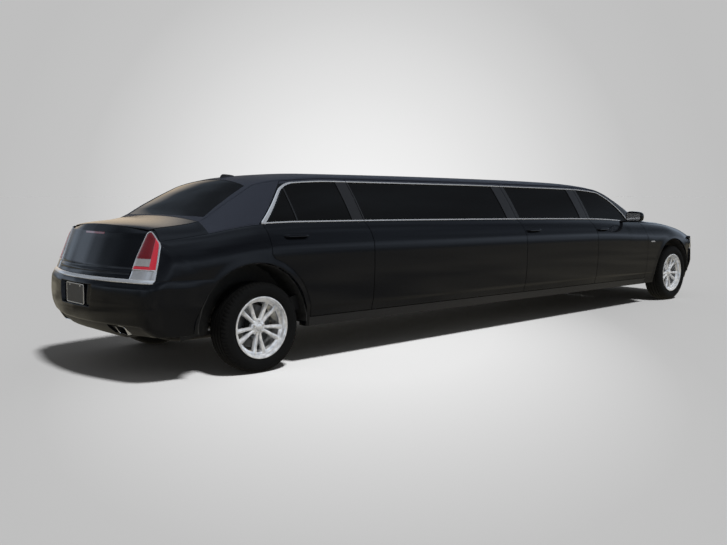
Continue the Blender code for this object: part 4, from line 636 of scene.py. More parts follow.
for word, sign in bothSides:
    # Quarter panel: round its arch up to the belt, then the deck's shoulder and the pillar
    doorSide = shifted(rearDoorRear, -halfGap)
    beltFront = doorSide(1.0)
    beltX = spaced([quarterRear, roofRear, beltFront], 0.05)
    bottom = arcBottom(rearArch, 0.0, 1)
    seamZ = bumperTop + 0.002
    rearZ = np.linspace(float(skin(quarterRear, 1.0)[1]), seamZ, 9)
    rearLine = [(tailLine(z), z) for z in rearZ]
    outline = [bottom] + sideLine(spaced([bottom[0], doorSide(0.095)], 0.03)[1:], 0.0)
    outline += edgeLine(doorSide, lowLevels[(lowLevels > 0.11) & (lowLevels < 0.999)])
    outline += sideLine(beltX[::-1], 1.0)
    outline += rearLine
    seamArc = rearArch[0] - math.sqrt(rearArch[2]**2 - (seamZ - rearArch[1])**2)
    outline += [(x, seamZ) for x in spaced([rearLine[-1][0], seamArc], 0.03)[1:]]
    px, pv = archSpokes(outline, rearArch)
    high = np.concatenate([[1.0, 1.006, 1.015, 1.03], np.linspace(1.06, 1.9, 15), [1.93, 1.95, 1.966]])
    tailEdge = tailLine(skin(quarterRear, high)[1])
    deckX = beltX[beltX <= roofRear + 1e-9]
    deckShare = (deckX - roofRear) / (quarterRear - roofRear)
    dx = roofRear + deckShare[None, :] * (tailEdge[:, None] - roofRear)
    dx[0] = deckX
    firstRow = beltX[beltX >= roofRear - 1e-9]
    ux = np.array([doorSide(v) - (beltFront - firstRow) * (doorSide(v) - roofRear) / (beltFront - roofRear)
                   for v in high])
    patches = [(px, pv, None, 0), (dx, rowsOf(high, dx), None, 0), (ux, rowsOf(high, ux), None, 3)]
    skinSheet(f"quarterSkin_{word}", patches, sign, lambda x, v: wall(v) - 0.006,
              [paint, underside, paint, vinyl], lift=archFlare(rearArch), trim=tuckTail,
              slotName=f"quarter_panel_{word}", replaced=[f"quarter_panel_{word}"])

    # Fender: round its arch, with the nose above the bumper and the foot of the pillar
    noseEdge = meetNose(1.0, 0.002)
    doorFace = shifted(frontDoorEdge, halfGap)
    beltX = spaced([doorFace(1.0), frontX - 0.04, noseEdge], 0.06)
    seamX = bumperSeamX - 0.002
    bottom = arcBottom(frontArch, 0.0, -1)
    seamFoot = arcBottom(frontArch, 0.0, 1)
    noseZ = noseTop + 0.002
    outline = [bottom] + sideLine(spaced([bottom[0], doorFace(0.5)], 0.03)[1:], 0.0)
    outline += edgeLine(doorFace, lowLevels[(lowLevels > 0.05) & (lowLevels < 0.999)])
    outline += sideLine(beltX, 1.0)
    outline += [(x, noseZ) for x in spaced([noseEdge, seamX], 0.03)]
    outline += [(seamX, z) for z in np.linspace(noseZ, seamFoot[1], 14)[1:]]
    outline += [seamFoot]
    outline = outline[::-1]
    px, pv = archSpokes(outline, frontArch)
    tipShare = (beltX - beltX[0]) / (beltX[-1] - beltX[0])
    high = np.concatenate([[1.0, 1.006, 1.015, 1.03], np.linspace(1.06, 1.9, 12), [1.93, 1.964]])
    ux = np.array([beltX[0] + (meetNose(v, 0.002) - beltX[0]) * tipShare for v in high])
    foot = np.linspace(0, 1, 5)
    fx = np.array([doorFace(v) + (beltX[0] - doorFace(v)) * foot for v in high])
    patches = [(px, pv, None, 0), (ux, rowsOf(high, ux), None, 0), (fx, rowsOf(high, fx), None, 0)]
    skinSheet(f"fenderSkin_{word}", patches, sign, lambda x, v: np.minimum(wall(v), 0.050) - 0.006,
              [paint, underside, paint], lift=archFlare(frontArch), slotName=f"fender_{word}",
              replaced=[f"fender_{word}"])
print("quarter panels and fenders made")


# Roof, cowl and window surrounds as one sheet; the screens fill its two masked places
windscreenPlan = ((frontX - 0.730, 0.690, 0.105), (frontX - 1.400, 0.555, 0.060))
rearPlanScreen = ((rearX - 0.330, 0.615, 0.045), (rearX + 0.105, 0.530, -0.040))


def railWidth(x):
    return smoothCurve(stationX, stations, x)[..., 6]


def topGrid():
    t = np.concatenate([[-1.0], np.linspace(-0.9, 0.9, 19), [1.0]])
    marks = [
        (roofRear, 0.0, 0.640), (rearPlanScreen[0][0], -rearPlanScreen[0][2], rearPlanScreen[0][1]),
        (rearPlanScreen[1][0], -rearPlanScreen[1][2], rearPlanScreen[1][1]),
        (windscreenPlan[1][0], windscreenPlan[1][2], windscreenPlan[1][1]),
        (windscreenPlan[0][0], windscreenPlan[0][2], windscreenPlan[0][1]), (roofFront, 0.0, 0.700),
    ]
    counts = [3, 12, 44, 14, 4]
    lines, owner = [], []
    for k, ((x0, b0, w0), (x1, b1, w1), count) in enumerate(zip(marks, marks[1:], counts)):
        for j in range(count + (k == len(counts) - 1)):
            s = j / count
            lines.append((x0 + s * (x1 - x0), b0 + s * (b1 - b0), w0 + s * (w1 - w0)))
            owner.append(k)
    rows = []
    for x0, bow, width in lines:
        x = x0 + bow * (1 - t * t)
        v = 3 - np.abs(t) * width / railWidth(x)
        outV = 3 - width / float(railWidth(x0))
        out = outV + (1.970 - outV) * np.array([0.12, 0.35, 0.6, 0.8, 0.92, 1.0])
        rows.append((np.concatenate([np.full(6, x0), x, np.full(6, x0)]),
                     np.concatenate([out[::-1], v, out]),
                     np.concatenate([-np.ones(6), np.where(t < 0, -1.0, 1.0), np.ones(6)])))
    gx, gv, gs = (np.array([row[k] for row in rows]) for k in range(3))
    return gx, gv, gs, np.array(owner[:-1])


topX, topV, topSign, topOwner = topGrid()
middle = np.zeros(topX.shape[1] - 1, bool)
middle[6:-6] = True
holes = np.isin(topOwner, (1, 3))[:, None] & middle[None, :]
zone = np.where((topOwner == 4)[:, None] | ((topOwner == 3)[:, None] & ~middle[None, :]), 3, 0)
zone = np.where((topOwner == 4)[:, None] & middle[None, :], 4, zone)
skinSheet("roofSkin", [(topX, topV, ~holes, zone, topSign)], 0, 0.045,
          [vinyl, trimCloth, vinyl, paint, blackPlastic], slotName="roof", replaced=["roof"], bevel=0.003)
for node, stretch in (("rear_window", 1), ("windscreen", 3)):
    rows = np.where(topOwner == stretch)[0]
    rows = np.append(rows, rows[-1] + 1)
    gx, gv, signs = (one[rows][:, 6:-6] for one in (topX, topV, topSign))
    skinSheet(node + "Pane", [(gx, gv, None, 0, signs)], 0, 0.006, [darkGlass, darkGlass, sealRubber],
              recess=0.003, slotName=node, replaced=[node], bevel=0.0)
print("roof and screens made")


# Bonnet, with two soft creases and a raised middle
def bonnetFront(v):
    return meetNose(v, 0.004)


bonnetRear = roofFront + 0.006
acrossV = np.concatenate([[2.004, 2.03, 2.08, 2.15, 2.22], np.linspace(2.3, 2.95, 9)])
halfX, halfV, _ = grid([bonnetRear, bonnetFront], acrossV, 0.05)
middleX = np.linspace(bonnetRear, bonnetFront(3.0), halfX.shape[1])[None, :]
bonnetX = np.concatenate([halfX, middleX, halfX[::-1]])
bonnetV = np.concatenate([halfV, np.full_like(middleX, 3.0), halfV[::-1]])
bonnetSign = np.repeat([-1.0, 1.0, 1.0], [len(halfX), 1, len(halfX)])[:, None] * np.ones_like(bonnetX)


def bonnetForm(x, v, signs):
    half = (3 - v) * railWidth(x)
    along = np.clip((x - bonnetRear) / 0.1, 0, 1) * np.clip((frontX + 0.85 - x) / 0.25, 0, 1)
    crease = np.exp(-((half - 0.43 + 0.06 * (x - bonnetRear)) / 0.03)**2)
    return np.stack([0 * x, 0 * x, (-0.004 + 0.003 * crease) * along], -1)


skinSheet("bonnetSkin", [(bonnetX, bonnetV, None, 0, bonnetSign)], 0, 0.028, [paint, underside, paint],
          lift=bonnetForm, body="bonnet", slotName="bonnet", replaced=["bonnet"], bevel=0.003)


# Boot lid: deck, edge and rear face as one bent sheet
lidFront = roofRear - 0.006


def lidPoint(s, t, inset):
    # s runs 0 to 1 over the deck and 1 to 2 down the face; t runs across.
    if s <= 1:
        edge = rearX - 0.885
        x = lidFront + (edge - lidFront) * s
        wide = float(railWidth(x)) - 0.003
        low, top = smoothCurve(stationX, stations, x)[2:4]
        half = abs(t) * wide
        z = top - (top - low) * (half / (wide + 0.003))**2
        back = float(endX("rear", 1.03, half)) + 0.012
        blend = np.clip((s - 0.35) / 0.65, 0, 1)**2
        x = x + (back - x) * blend
        z = z - inset + 0.003 * math.exp(-((s - 0.97) / 0.05)**2) * (1 if inset == 0 else 0)
        return x, math.copysign(half, t), z
    z = 0.990 + (0.656 - 0.990) * (s - 1)
    wide = float(np.interp(z, [0.80, 0.985], [0.610, 0.637]))
    half = abs(t) * wide
    lip = 0.007 * math.exp(-((z - 0.700) / 0.010)**2) - 0.006 * math.exp(-((z - 0.715) / 0.012)**2)
    return float(endX("rear", z, half)) + inset - (lip if inset == 0 else 0), math.copysign(half, t), z


lidS = np.concatenate([np.linspace(0, 0.9, 12), [0.94, 0.97, 0.99, 1.0, 1.02, 1.05, 1.09],
                       np.linspace(1.14, 1.98, 40), [2.0]])
lidT = np.concatenate([[-1, -0.985, -0.95], np.linspace(-0.88, 0.88, 23), [0.95, 0.985, 1]])
outer = np.array([[lidPoint(s, t, 0.0) for t in lidT] for s in lidS])
inner = np.array([[lidPoint(s, t, 0.028) for t in lidT] for s in lidS])
verts, quads, zones = solidSheet(outer, inner)
makeMesh("bootLidSkin", verts, quads, [paint, underside, paint], zones, body="boot_lid", slotName="boot_lid",
         replaced=["boot_lid"], bevel=0.003)
print("bonnet and boot lid made")


# End faces: y across, z up, set back by plan and profile; push moves the face in or out
def planSlope(end, half):
    return (planBack(end, half + 0.004) - planBack(end, np.maximum(half - 0.004, 0))) / 0.008


def narrowed(z):
    # The bumpers' lower edges draw in toward the middle.
    return np.interp(z, [0.2, 0.35, 0.45], [0.955, 0.975, 1])


def endSheet(name, end, y, z, depth, materials, push, zone, mask, bevel=0.002, **options):
    x = endX(end, z, np.abs(y))
    slope = planSlope(end, np.abs(y))
    long = np.hypot(slope, 1)
    inX, inY = (1 if end == "rear" else -1) / long, -np.sign(y) * slope / long
    sunk = push(y, z)
    faces = [np.stack([x + inX * deep, y * narrowed(z) + inY * deep, z], -1) for deep in (sunk, depth + sunk)]
    verts, quads, zones = solidSheet(*faces, mask)
    zones[:np.count_nonzero(mask)] = zone[mask]
    return makeMesh(name, verts, quads, materials, zones, bevel=bevel, **options)


def endSpan(end, y, z, lastBack, count):
    # The columns y, carried on round the corner until the face lies lastBack in, on both sides.
    # Returned as y and z of the points, then y and z of the cells' middles.
    firstBack = float(planBack(end, np.array([y[-1]]))[0])
    backs = firstBack + np.linspace(0, 1, count)[None, 1:] * (lastBack[:, None] - firstBack)
    across = np.concatenate([np.broadcast_to(y, (len(z), len(y))), planHalf(end, backs)], 1)
    across = np.concatenate([-across[:, :0:-1], across], 1)
    high = np.broadcast_to(z[:, None], across.shape)
    return across, high, (across[:-1, :-1] + across[1:, 1:]) / 2, (high[:-1, :-1] + high[1:, 1:]) / 2


def smoothStep(value, low, high):
    s = np.clip((value - low) / (high - low), 0, 1)
    return s * s * (3 - 2 * s)


plateHalf, plateLow, plateHigh = 0.275, 0.425, 0.595


def rearPush(y, z):
    # Trapezoid recess for the plate and a lower valance set in.
    slant = plateHalf - 0.030 * (plateHigh - z) / (plateHigh - plateLow)
    inside = smoothStep(slant - np.abs(y), 0.0, 0.008) * smoothStep(z, plateLow, plateLow + 0.010)
    inside = inside * smoothStep(-z, -plateHigh, -plateHigh + 0.008)
    valance = smoothStep(-z, -0.318, -0.308) * smoothStep(0.80 - np.abs(y), 0, 0.05)
    return 0.024 * inside + 0.010 * valance


bumperY = np.concatenate([
    np.linspace(0, 0.235, 8), [0.243, 0.2475, 0.252, 0.256, 0.262, 0.268, 0.2725, 0.277, 0.285],
    np.linspace(0.31, 0.395, 4), [0.412, 0.43, 0.47, 0.52, 0.56, 0.582], np.linspace(0.60, 0.84, 9),
    [0.86, 0.872]])
bumperZ = np.concatenate([[0.235, 0.25, 0.27, 0.29, 0.302, 0.308, 0.314, 0.320, 0.33, 0.36, 0.39, 0.41, 0.42],
                          [0.425, 0.430, 0.436, 0.444], np.linspace(0.46, 0.575, 8),
                          [0.585, 0.589, 0.593, 0.597, 0.603, 0.612, 0.622, 0.632, 0.641, 0.646]])

archEdge = rearArch[0] - np.sqrt(0.512**2 - (bumperZ - rearArch[1])**2)
gy, gz, cy, cz = endSpan("rear", bumperY, bumperZ, archEdge - tailX - profileBack("rear", bumperZ), 16)
zone = np.where((cz < 0.312) & (np.abs(cy) < 0.79), 3, 0)
inArch = (cz < 0.308) & (np.abs(cy) > 0.412) & (np.abs(cy) < 0.582)
endSheet("bumperRear", "rear", gy, gz, 0.034, [paint, underside, paint, blackPlastic], rearPush, zone,
                      ~inArch, slotName="rear_bumper", replaced=["rear_bumper"])


frontY = np.concatenate([np.linspace(0, 0.36, 12), [0.377, 0.386, 0.40, 0.42, 0.43],
                         np.linspace(0.46, 0.82, 12)])
frontZ = np.concatenate([[0.205, 0.22, 0.25, 0.28, 0.30, 0.308, 0.34, 0.37, 0.38, 0.395, 0.409],
                         np.linspace(0.43, 0.60, 8), [0.608, 0.65, 0.70, 0.7455, 0.7525, 0.765, 0.772, 0.776]])


def frontLimit(z):
    # Half-width of the front end where it meets the fender's seam.
    back = noseX - bumperSeamX - profileBack("front", z)
    return back, planHalf("front", back)


gy, gz, cy, cz = endSpan("front", frontY, frontZ, frontLimit(frontZ)[0], 12)
cy = np.abs(cy)
gone = (cy < 0.386) & (cz > 0.409) & (cz < 0.7456)
gone |= (cy > 0.43) & (cz > 0.608) & (cz < 0.7526)
intake = (cz > 0.25) & (cz < 0.34) & (cy < 0.62)


def frontPush(y, z):
    # The intake's slot, set in.
    return (0.012 * smoothStep(z, 0.245, 0.26) * smoothStep(-z, -0.345, -0.33)
            * smoothStep(0.64 - np.abs(y), 0, 0.03))


endSheet("bumperFront", "front", gy, gz, 0.034, [paint, underside, paint, blackPlastic], frontPush,
         np.where(intake, 3, 0), ~gone, slotName="front_bumper", replaced=["front_bumper"])
print("bumpers made")


# Bars and strips swept along a path, given its points, its outward normals and a cross-section
def sweep(points, normals, section, closed=False, scale=None):
    # Section is (side, out) pairs; side lies along normal x direction of travel. Returns verts and quads.
    points, normals = np.asarray(points, float), np.asarray(normals, float)
    ahead = np.roll(points, -1, 0) - np.roll(points, 1, 0)
    if not closed:
        ahead[0], ahead[-1] = points[1] - points[0], points[-1] - points[-2]
    ahead /= np.linalg.norm(ahead, axis=1)[:, None]
    normals = normals - ahead * np.sum(normals * ahead, 1)[:, None]
    normals /= np.linalg.norm(normals, axis=1)[:, None]
    across = np.cross(normals, ahead)
    section = np.asarray(section, float)
    scale = np.ones((len(points), 2)) if scale is None else np.asarray(scale, float)
    ring = (points[:, None] + across[:, None] * (section[None, :, :1] * scale[:, None, :1])
            + normals[:, None] * (section[None, :, 1:] * scale[:, None, 1:]))
    if closed:
        return ring.reshape(-1, 3), ringFaces(*ring.shape[:2], closed=True)
    return capped(ring)


def outwardFaces(verts, quads):
    a, b, c, d = (verts[quads[:, k]] for k in range(4))
    volume = np.sum(a * np.cross(b, c)) + np.sum(a * np.cross(c, d))
    return quads if volume > 0 else quads[:, ::-1]


def joinSolids(solids):
    # Several closed solids as one list of points and faces, with a zone number for each solid.
    verts, quads, zones, start = [], [], [], 0
    for k, solid in enumerate(solids):
        points, faces = np.asarray(solid[0], float), np.asarray(solid[1])
        verts.append(points)
        quads.append(outwardFaces(points, faces) + start)
        zones.append(np.full(len(faces), solid[2] if len(solid) > 2 else 0))
        start += len(points)
    return np.concatenate(verts), np.concatenate(quads), np.concatenate(zones)


def makeSolids(name, solids, materials, **options):
    # One piece of several closed solids, each (points, faces) or (points, faces, material number).
    verts, quads, zones = joinSolids(solids)
    return makeMesh(name, verts, quads, materials, zones, **options)


def skinNormal(x, v, sign):
    reach = 0.004
    alongX = skinPoints(x + reach, v, sign) - skinPoints(x - reach, v, sign)
    alongV = skinPoints(x, v + reach, sign) - skinPoints(x, v - reach, sign)
    normal = np.cross(alongX, alongV)
    normal /= np.linalg.norm(normal, axis=-1)[..., None]
    return normal * np.where(normal[..., 1:2] * np.asarray(sign).reshape(-1, 1) < 0, -1, 1)


def rounded(width, height, sink=0.002):
    # A flat strip with a crowned top: (side, out) pairs.
    half = width / 2
    return [(-half, -sink), (-half, height * 0.5), (-half * 0.82, height * 0.85), (-half * 0.4, height),
            (half * 0.4, height), (half * 0.82, height * 0.85), (half, height * 0.5), (half, -sink)]


def skinStrip(x, v, sign, width, height, taper=None):
    x, v = np.asarray(x, float), np.asarray(v, float)
    scale = None if taper is None else np.stack([taper, np.ones(len(x))], -1)
    normals = skinNormal(x, v, np.full(len(x), sign))
    return sweep(skinPoints(x, v, sign), normals, rounded(width, height), scale=scale)


# Bright surround of the side windows, cut at each shut line
beltLevel, topLevel = 1.018, 1.900
trimWidth, trimHeight = 0.013, 0.0035


def frontTopX(v):
    return frontGlassFront(min(v, 1.885)) + 0.010


def rearCorner():
    # Path of the slanted rear strip, turning through a quarter round into the top strip.
    turning = 1.72 + 0.18 * np.sin(np.linspace(0.12, 1, 10) * math.pi / 2)
    v = np.concatenate([np.linspace(beltLevel, 1.72, 14), turning])
    base = rearX + 0.085 + 0.395 * (v - 1)
    turn = np.clip((v - 1.72) / 0.18, 0, 1)
    x = base + 0.11 * (1 - np.sqrt(np.maximum(1 - turn**2, 0)))
    return x, v


for word, sign in bothSides:
    stretches = [("door_rear_" + word, rearX + 0.075, rearDoorFront - halfGap, True, False)]
    if sign < 0:
        stretches += [("chassis", rearDoorFront + halfGap, fifthRear - halfGap, False, False),
                      ("door_fifth_right", fifthRear + halfGap, fifthFront - halfGap, False, False)]
    else:
        stretches += [("chassis", rearDoorFront + halfGap, fifthFront - halfGap, False, False)]
    stretches += [("door_front_" + word, fifthFront + halfGap, frontX - 0.975, False, True)]
    for carrier, start, end, rearmost, foremost in stretches:
        belt = spaced([start, end], 0.08)
        solids = [skinStrip(belt, np.full(len(belt), beltLevel), sign, trimWidth, trimHeight)]
        if rearmost:
            cx, cv = rearCorner()
            top = spaced([cx[-1], end], 0.06)[1:]
            wide = np.concatenate([np.linspace(2.6, 1.15, len(cx)), np.ones(len(top))])
            px, pv = np.concatenate([cx, top]), np.concatenate([cv, np.full(len(top), topLevel)])
            solids.append(skinStrip(px, pv, sign, trimWidth, trimHeight, wide))
        elif foremost:
            down = np.linspace(1.86, 1.05, 18)
            top = spaced([start, frontTopX(1.86) - 0.10], 0.06)
            px = np.concatenate([top, [frontTopX(1.86) - 0.045], [frontTopX(v) for v in down]])
            pv = np.concatenate([np.full(len(top), topLevel), [1.892], down])
            solids.append(skinStrip(px, pv, sign, trimWidth, trimHeight))
        else:
            top = spaced([start, end], 0.08)
            solids.append(skinStrip(top, np.full(len(top), topLevel), sign, trimWidth, trimHeight))
        makeSolids(f"windowTrim_{carrier}_{word}", solids, [chrome], body=carrier)

    # Dark divider bar in the rear door's glass
    bar = skinStrip(np.full(12, rearX + 0.44), np.linspace(glassLow, glassTop, 12), sign, 0.016, -0.004)
    makeSolids(f"glassDivider_{word}", [bar], [blackPlastic], body="door_rear_" + word)
print("window trim made")


# Door handles: a bar whose ends bend down to the panel, on each door that opens
handles = [("rear_right", -1, rearX + 0.340, 0.9475), ("rear_left", 1, rearX + 0.340, 0.9475),
           ("fifth_right", -1, rearX + 3.507, 0.930), ("front_right", -1, rearX + 4.867, 0.915),
           ("front_left", 1, rearX + 4.867, 0.915)]
for door, sign, middle, height in handles:
    s = np.linspace(-1, 1, 25)
    x = middle + 0.118 * s
    v = level(x, np.full(25, height))
    out = 0.030 - 0.030 * np.clip((np.abs(s) - 0.72) / 0.28, 0, 1)**2
    points = skinPoints(x, v, sign, -out + 0.004)
    shape = np.stack([1 - 0.25 * np.abs(s)**3, np.ones(25)], -1)
    bar = sweep(points, skinNormal(x, v, np.full(25, sign)), circle(0.0135, 12, 0.0065), scale=shape)
    makeSolids(f"handle_{door}", [bar], [paint], body="door_" + door)
print("handles made")


# Wheels: each point is (across, outboard, up) about the hub; right wheels mirror the left ones
def lathe(profile, sides, wave=None):
    profile = np.asarray(profile, float)
    angle = np.arange(sides) * 2 * math.pi / sides
    r = np.broadcast_to(profile[None, :, 0], (sides, len(profile))).copy()
    w = np.broadcast_to(profile[None, :, 1], r.shape).copy()
    a = np.broadcast_to(angle[:, None], r.shape)
    if wave is not None:
        r = r - wave(a, r, w)
    verts = np.stack([r * np.sin(a), w, r * np.cos(a)], -1).reshape(-1, 3)
    return verts, ringFaces(sides, len(profile), closed=True)


def roundedProfile(points, radius=0.003, steps=3):
    # Corners of a closed profile turned into short arcs.
    points = np.asarray(points, float)
    made = []
    for k, corner in enumerate(points):
        before, after = points[k - 1], points[(k + 1) % len(points)]
        a, b = before - corner, after - corner
        la, lb = np.linalg.norm(a), np.linalg.norm(b)
        cut = min(radius, la * 0.45, lb * 0.45)
        p, q = corner + a / la * cut, corner + b / lb * cut
        for s in np.linspace(0, 1, steps):
            made.append((1 - s)**2 * p + 2 * s * (1 - s) * corner + s * s * q)
    return np.array(made)


rimOutline = [
    (0.2295, 0.094), (0.2435, 0.097), (0.2440, 0.1065), (0.2345, 0.1075), (0.2290, 0.0990), (0.2240, 0.0960),
    (0.2200, 0.0700), (0.2120, 0.0640), (0.2000, 0.0620), (0.1960, 0.0560), (0.1990, 0.0480), (0.2060, 0.0200),
    (0.2060, -0.098), (0.2400, -0.106), (0.2400, -0.098), (0.2295, -0.094),
]


def wheelSpoke(turn, side):
    # One spoke of a pair: wide and dished at the rim, slim at the hub.
    r = np.array([0.030, 0.050, 0.072, 0.095, 0.120, 0.145, 0.168, 0.186, 0.200, 0.212])
    half = smoothCurve(np.array([0.03, 0.08, 0.14, 0.19, 0.212]), [0.012, 0.0130, 0.0155, 0.0190, 0.024], r)
    marks = np.array([0.03, 0.08, 0.15, 0.212])
    off = side * smoothCurve(marks, [0.0110, 0.0175, 0.0345, 0.0480], r)
    face = smoothCurve(marks, [0.0600, 0.0585, 0.0630, 0.0690], r)
    ring = np.array([
        (-1.0, -0.030), (-1.0, -0.009), (-0.86, -0.0040), (-0.55, -0.0010), (-0.25, 0.0), (0.0, 0.0003),
        (0.25, 0.0), (0.55, -0.0010), (0.86, -0.0040), (1.0, -0.009), (1.0, -0.030), (0.6, -0.034), (-0.6, -0.034),
    ])
    lateral = off[:, None] + ring[None, :, 0] * half[:, None]
    radius = np.broadcast_to(r[:, None], lateral.shape)
    return capped(np.stack([
        radius * math.sin(turn) + lateral * math.cos(turn), face[:, None] + ring[None, :, 1],
        radius * math.cos(turn) - lateral * math.sin(turn)], -1))


def turnedAt(profile, sides, place, radius=0.002):
    verts, quads = lathe(roundedProfile(profile, radius), sides)
    return verts + np.asarray(place), quads


def wheelParts():
    solids = [(*lathe(roundedProfile(rimOutline, 0.0022), 120), 0)]
    for k in range(5):
        turn = 2 * math.pi * k / 5 + math.pi
        for side in (-1, 1):
            solids.append((*wheelSpoke(turn, side), 0))
        lug = turn + math.pi / 5
        solids.append((*turnedAt([(0.0005, 0.066), (0.0085, 0.066), (0.0095, 0.050), (0.0005, 0.050)], 12,
                                 (0.046 * math.sin(lug), 0, 0.046 * math.cos(lug)), 0.001), 1))
    hub = [(0.031, 0.068), (0.040, 0.064), (0.058, 0.056), (0.066, 0.046), (0.066, 0.020), (0.031, 0.020)]
    cap = [(0.0005, 0.0755), (0.012, 0.0750), (0.024, 0.0725), (0.029, 0.0690), (0.030, 0.060), (0.0005, 0.060)]
    solids.append((*lathe(roundedProfile(hub, 0.003), 80), 0))
    solids.append((*lathe(roundedProfile(cap, 0.0012), 64), 0))
    disc = [(0.080, -0.030), (0.168, -0.030), (0.168, -0.040), (0.162, -0.040), (0.162, -0.045), (0.168, -0.045),
            (0.168, -0.055), (0.080, -0.055)]
    bell = [(0.034, -0.010), (0.078, -0.012), (0.082, -0.030), (0.082, -0.055), (0.034, -0.055)]
    solids.append((*lathe(roundedProfile(disc, 0.001), 96), 2))
    solids.append((*lathe(roundedProfile(bell, 0.002), 64), 3))
    return joinSolids(solids)


treadBlocks = 68


def treadWave(a, r, w):
    # Cross grooves: deep at the shoulders, fine cuts between, leaning the other way on each side.
    side = np.abs(w)
    lean = a * treadBlocks / (2 * math.pi) + w * 9.0
    shoulder = smoothStep(side, 0.060, 0.066) * smoothStep(-side, -0.1135, -0.104)
    phase = np.abs((lean % 1.0) - 0.5)
    deep = 0.0055 * smoothStep(-phase, -0.13, -0.07) * shoulder
    fine = 0.0025 * smoothStep(-np.abs(((lean + 0.35) % 1.0) - 0.5), -0.09, -0.04)
    fine = fine * smoothStep(-side, -0.055, -0.050)
    return np.where(r > 0.318, deep + fine, 0.0)


def tyreProfile():
    half = [
        (0.2300, 0.0905), (0.2442, 0.0912), (0.2470, 0.0985), (0.2520, 0.1030), (0.2560, 0.1052),
        (0.2600, 0.1062), (0.2620, 0.1080), (0.2680, 0.1105), (0.2780, 0.1142), (0.2900, 0.1165),
        (0.3020, 0.1172), (0.3040, 0.1168), (0.3120, 0.1158), (0.3200, 0.1140), (0.3280, 0.1112),
        (0.3350, 0.1068), (0.3410, 0.1010), (0.3460, 0.0940), (0.3495, 0.0860), (0.3515, 0.0780),
        (0.3530, 0.0690), (0.3534, 0.0620), (0.3460, 0.0610), (0.3460, 0.0530), (0.3538, 0.0520),
        (0.3544, 0.0400), (0.3547, 0.0260), (0.3470, 0.0250), (0.3470, 0.0170), (0.3549, 0.0160),
        (0.3550, 0.0050),
    ]
    other = [(r, -w) for r, w in half[::-1]]
    return np.array(half + other)


wheelMesh = wheelParts()
tyreMesh = lathe(tyreProfile(), treadBlocks * 7, treadWave)
wheelOut, wheelHigh = 0.81, 0.355
for end, x in (("front", frontX), ("rear", rearX)):
    for word, sign in bothSides:
        place, mirror = np.array([x, sign * wheelOut, wheelHigh]), np.array([1, sign, 1])
        node = f"{end}_{word}"
        verts, quads, zones = wheelMesh
        makeMesh(f"wheelRim_{node}", verts * mirror + place, quads if sign > 0 else quads[:, ::-1],
                 [wheelPolishPaintedGlints, chrome, discFinish, darkMetal], zones, body=f"wheel_{node}",
                 slotName=f"wheel_{node}", replaced=[f"wheel_{node}"], world=False)
        verts, quads = tyreMesh
        verts = verts * mirror + place
        makeMesh(f"tyreSkin_{node}", verts, outwardFaces(verts, quads), [rubber], body=f"wheel_{node}",
                 slotName=f"tyre_{node}", replaced=[f"tyre_{node}"], world=False, sharp=40)
print("wheels made")


# Rear end: tail lamps, bright strip, plate place and exhaust tips
def endPoint(end, y, z, push=0.0):
    # A point on an end's face, set in (+) or out (-) by push, and its outward normal.
    into = 1 if end == "rear" else -1
    y, z = np.asarray(y, float), np.asarray(z, float)
    half = np.abs(y)
    rise = (endX(end, z + 0.004, half) - endX(end, z - 0.004, half)) / 0.008
    normal = np.stack([np.full_like(y, -into), np.sign(y) * planSlope(end, half), rise * into], -1)
    normal /= np.linalg.norm(normal, axis=-1)[..., None]
    x = endX(end, z, half)
    if end == "rear":
        skinHalf = skin(x, np.clip(level(x, z), 0, 1.95))[0]
        y = np.where((z > 0.80) & (half > 0.645), np.sign(y) * np.minimum(half, skinHalf), y)
    place = np.stack([x, y * narrowed(z), z], -1)
    return place - normal * np.asarray(push)[..., None], normal


def endPatch(end, y, z, depth, push=0.0):
    return solidSheet(endPoint(end, y, z, push)[0], endPoint(end, y, z, np.asarray(push) + depth)[0])


lampFoot, lampBreak = 0.722, 0.800
footLow, footHigh = 0.6525, 0.7175
stripLow, stripHigh = 0.6290, 0.6535


def lampInner(z):
    return 0.6185 + np.interp(z, [0.80, 0.932, 1.0], [0.0, 0.017, 0.032])


def lampOuter(z):
    # Where the end's face meets the slanted line of the quarter panel.
    return planHalf("rear", tailLine(z) - 0.0015 - tailX - profileBack("rear", z))


pipes = []


def lensTop(u):
    return 0.990 - 0.075 * np.clip((u - 0.42) / 0.58, 0, 1)**1.15 - 0.012 * np.clip((0.10 - u) / 0.10, 0, 1)


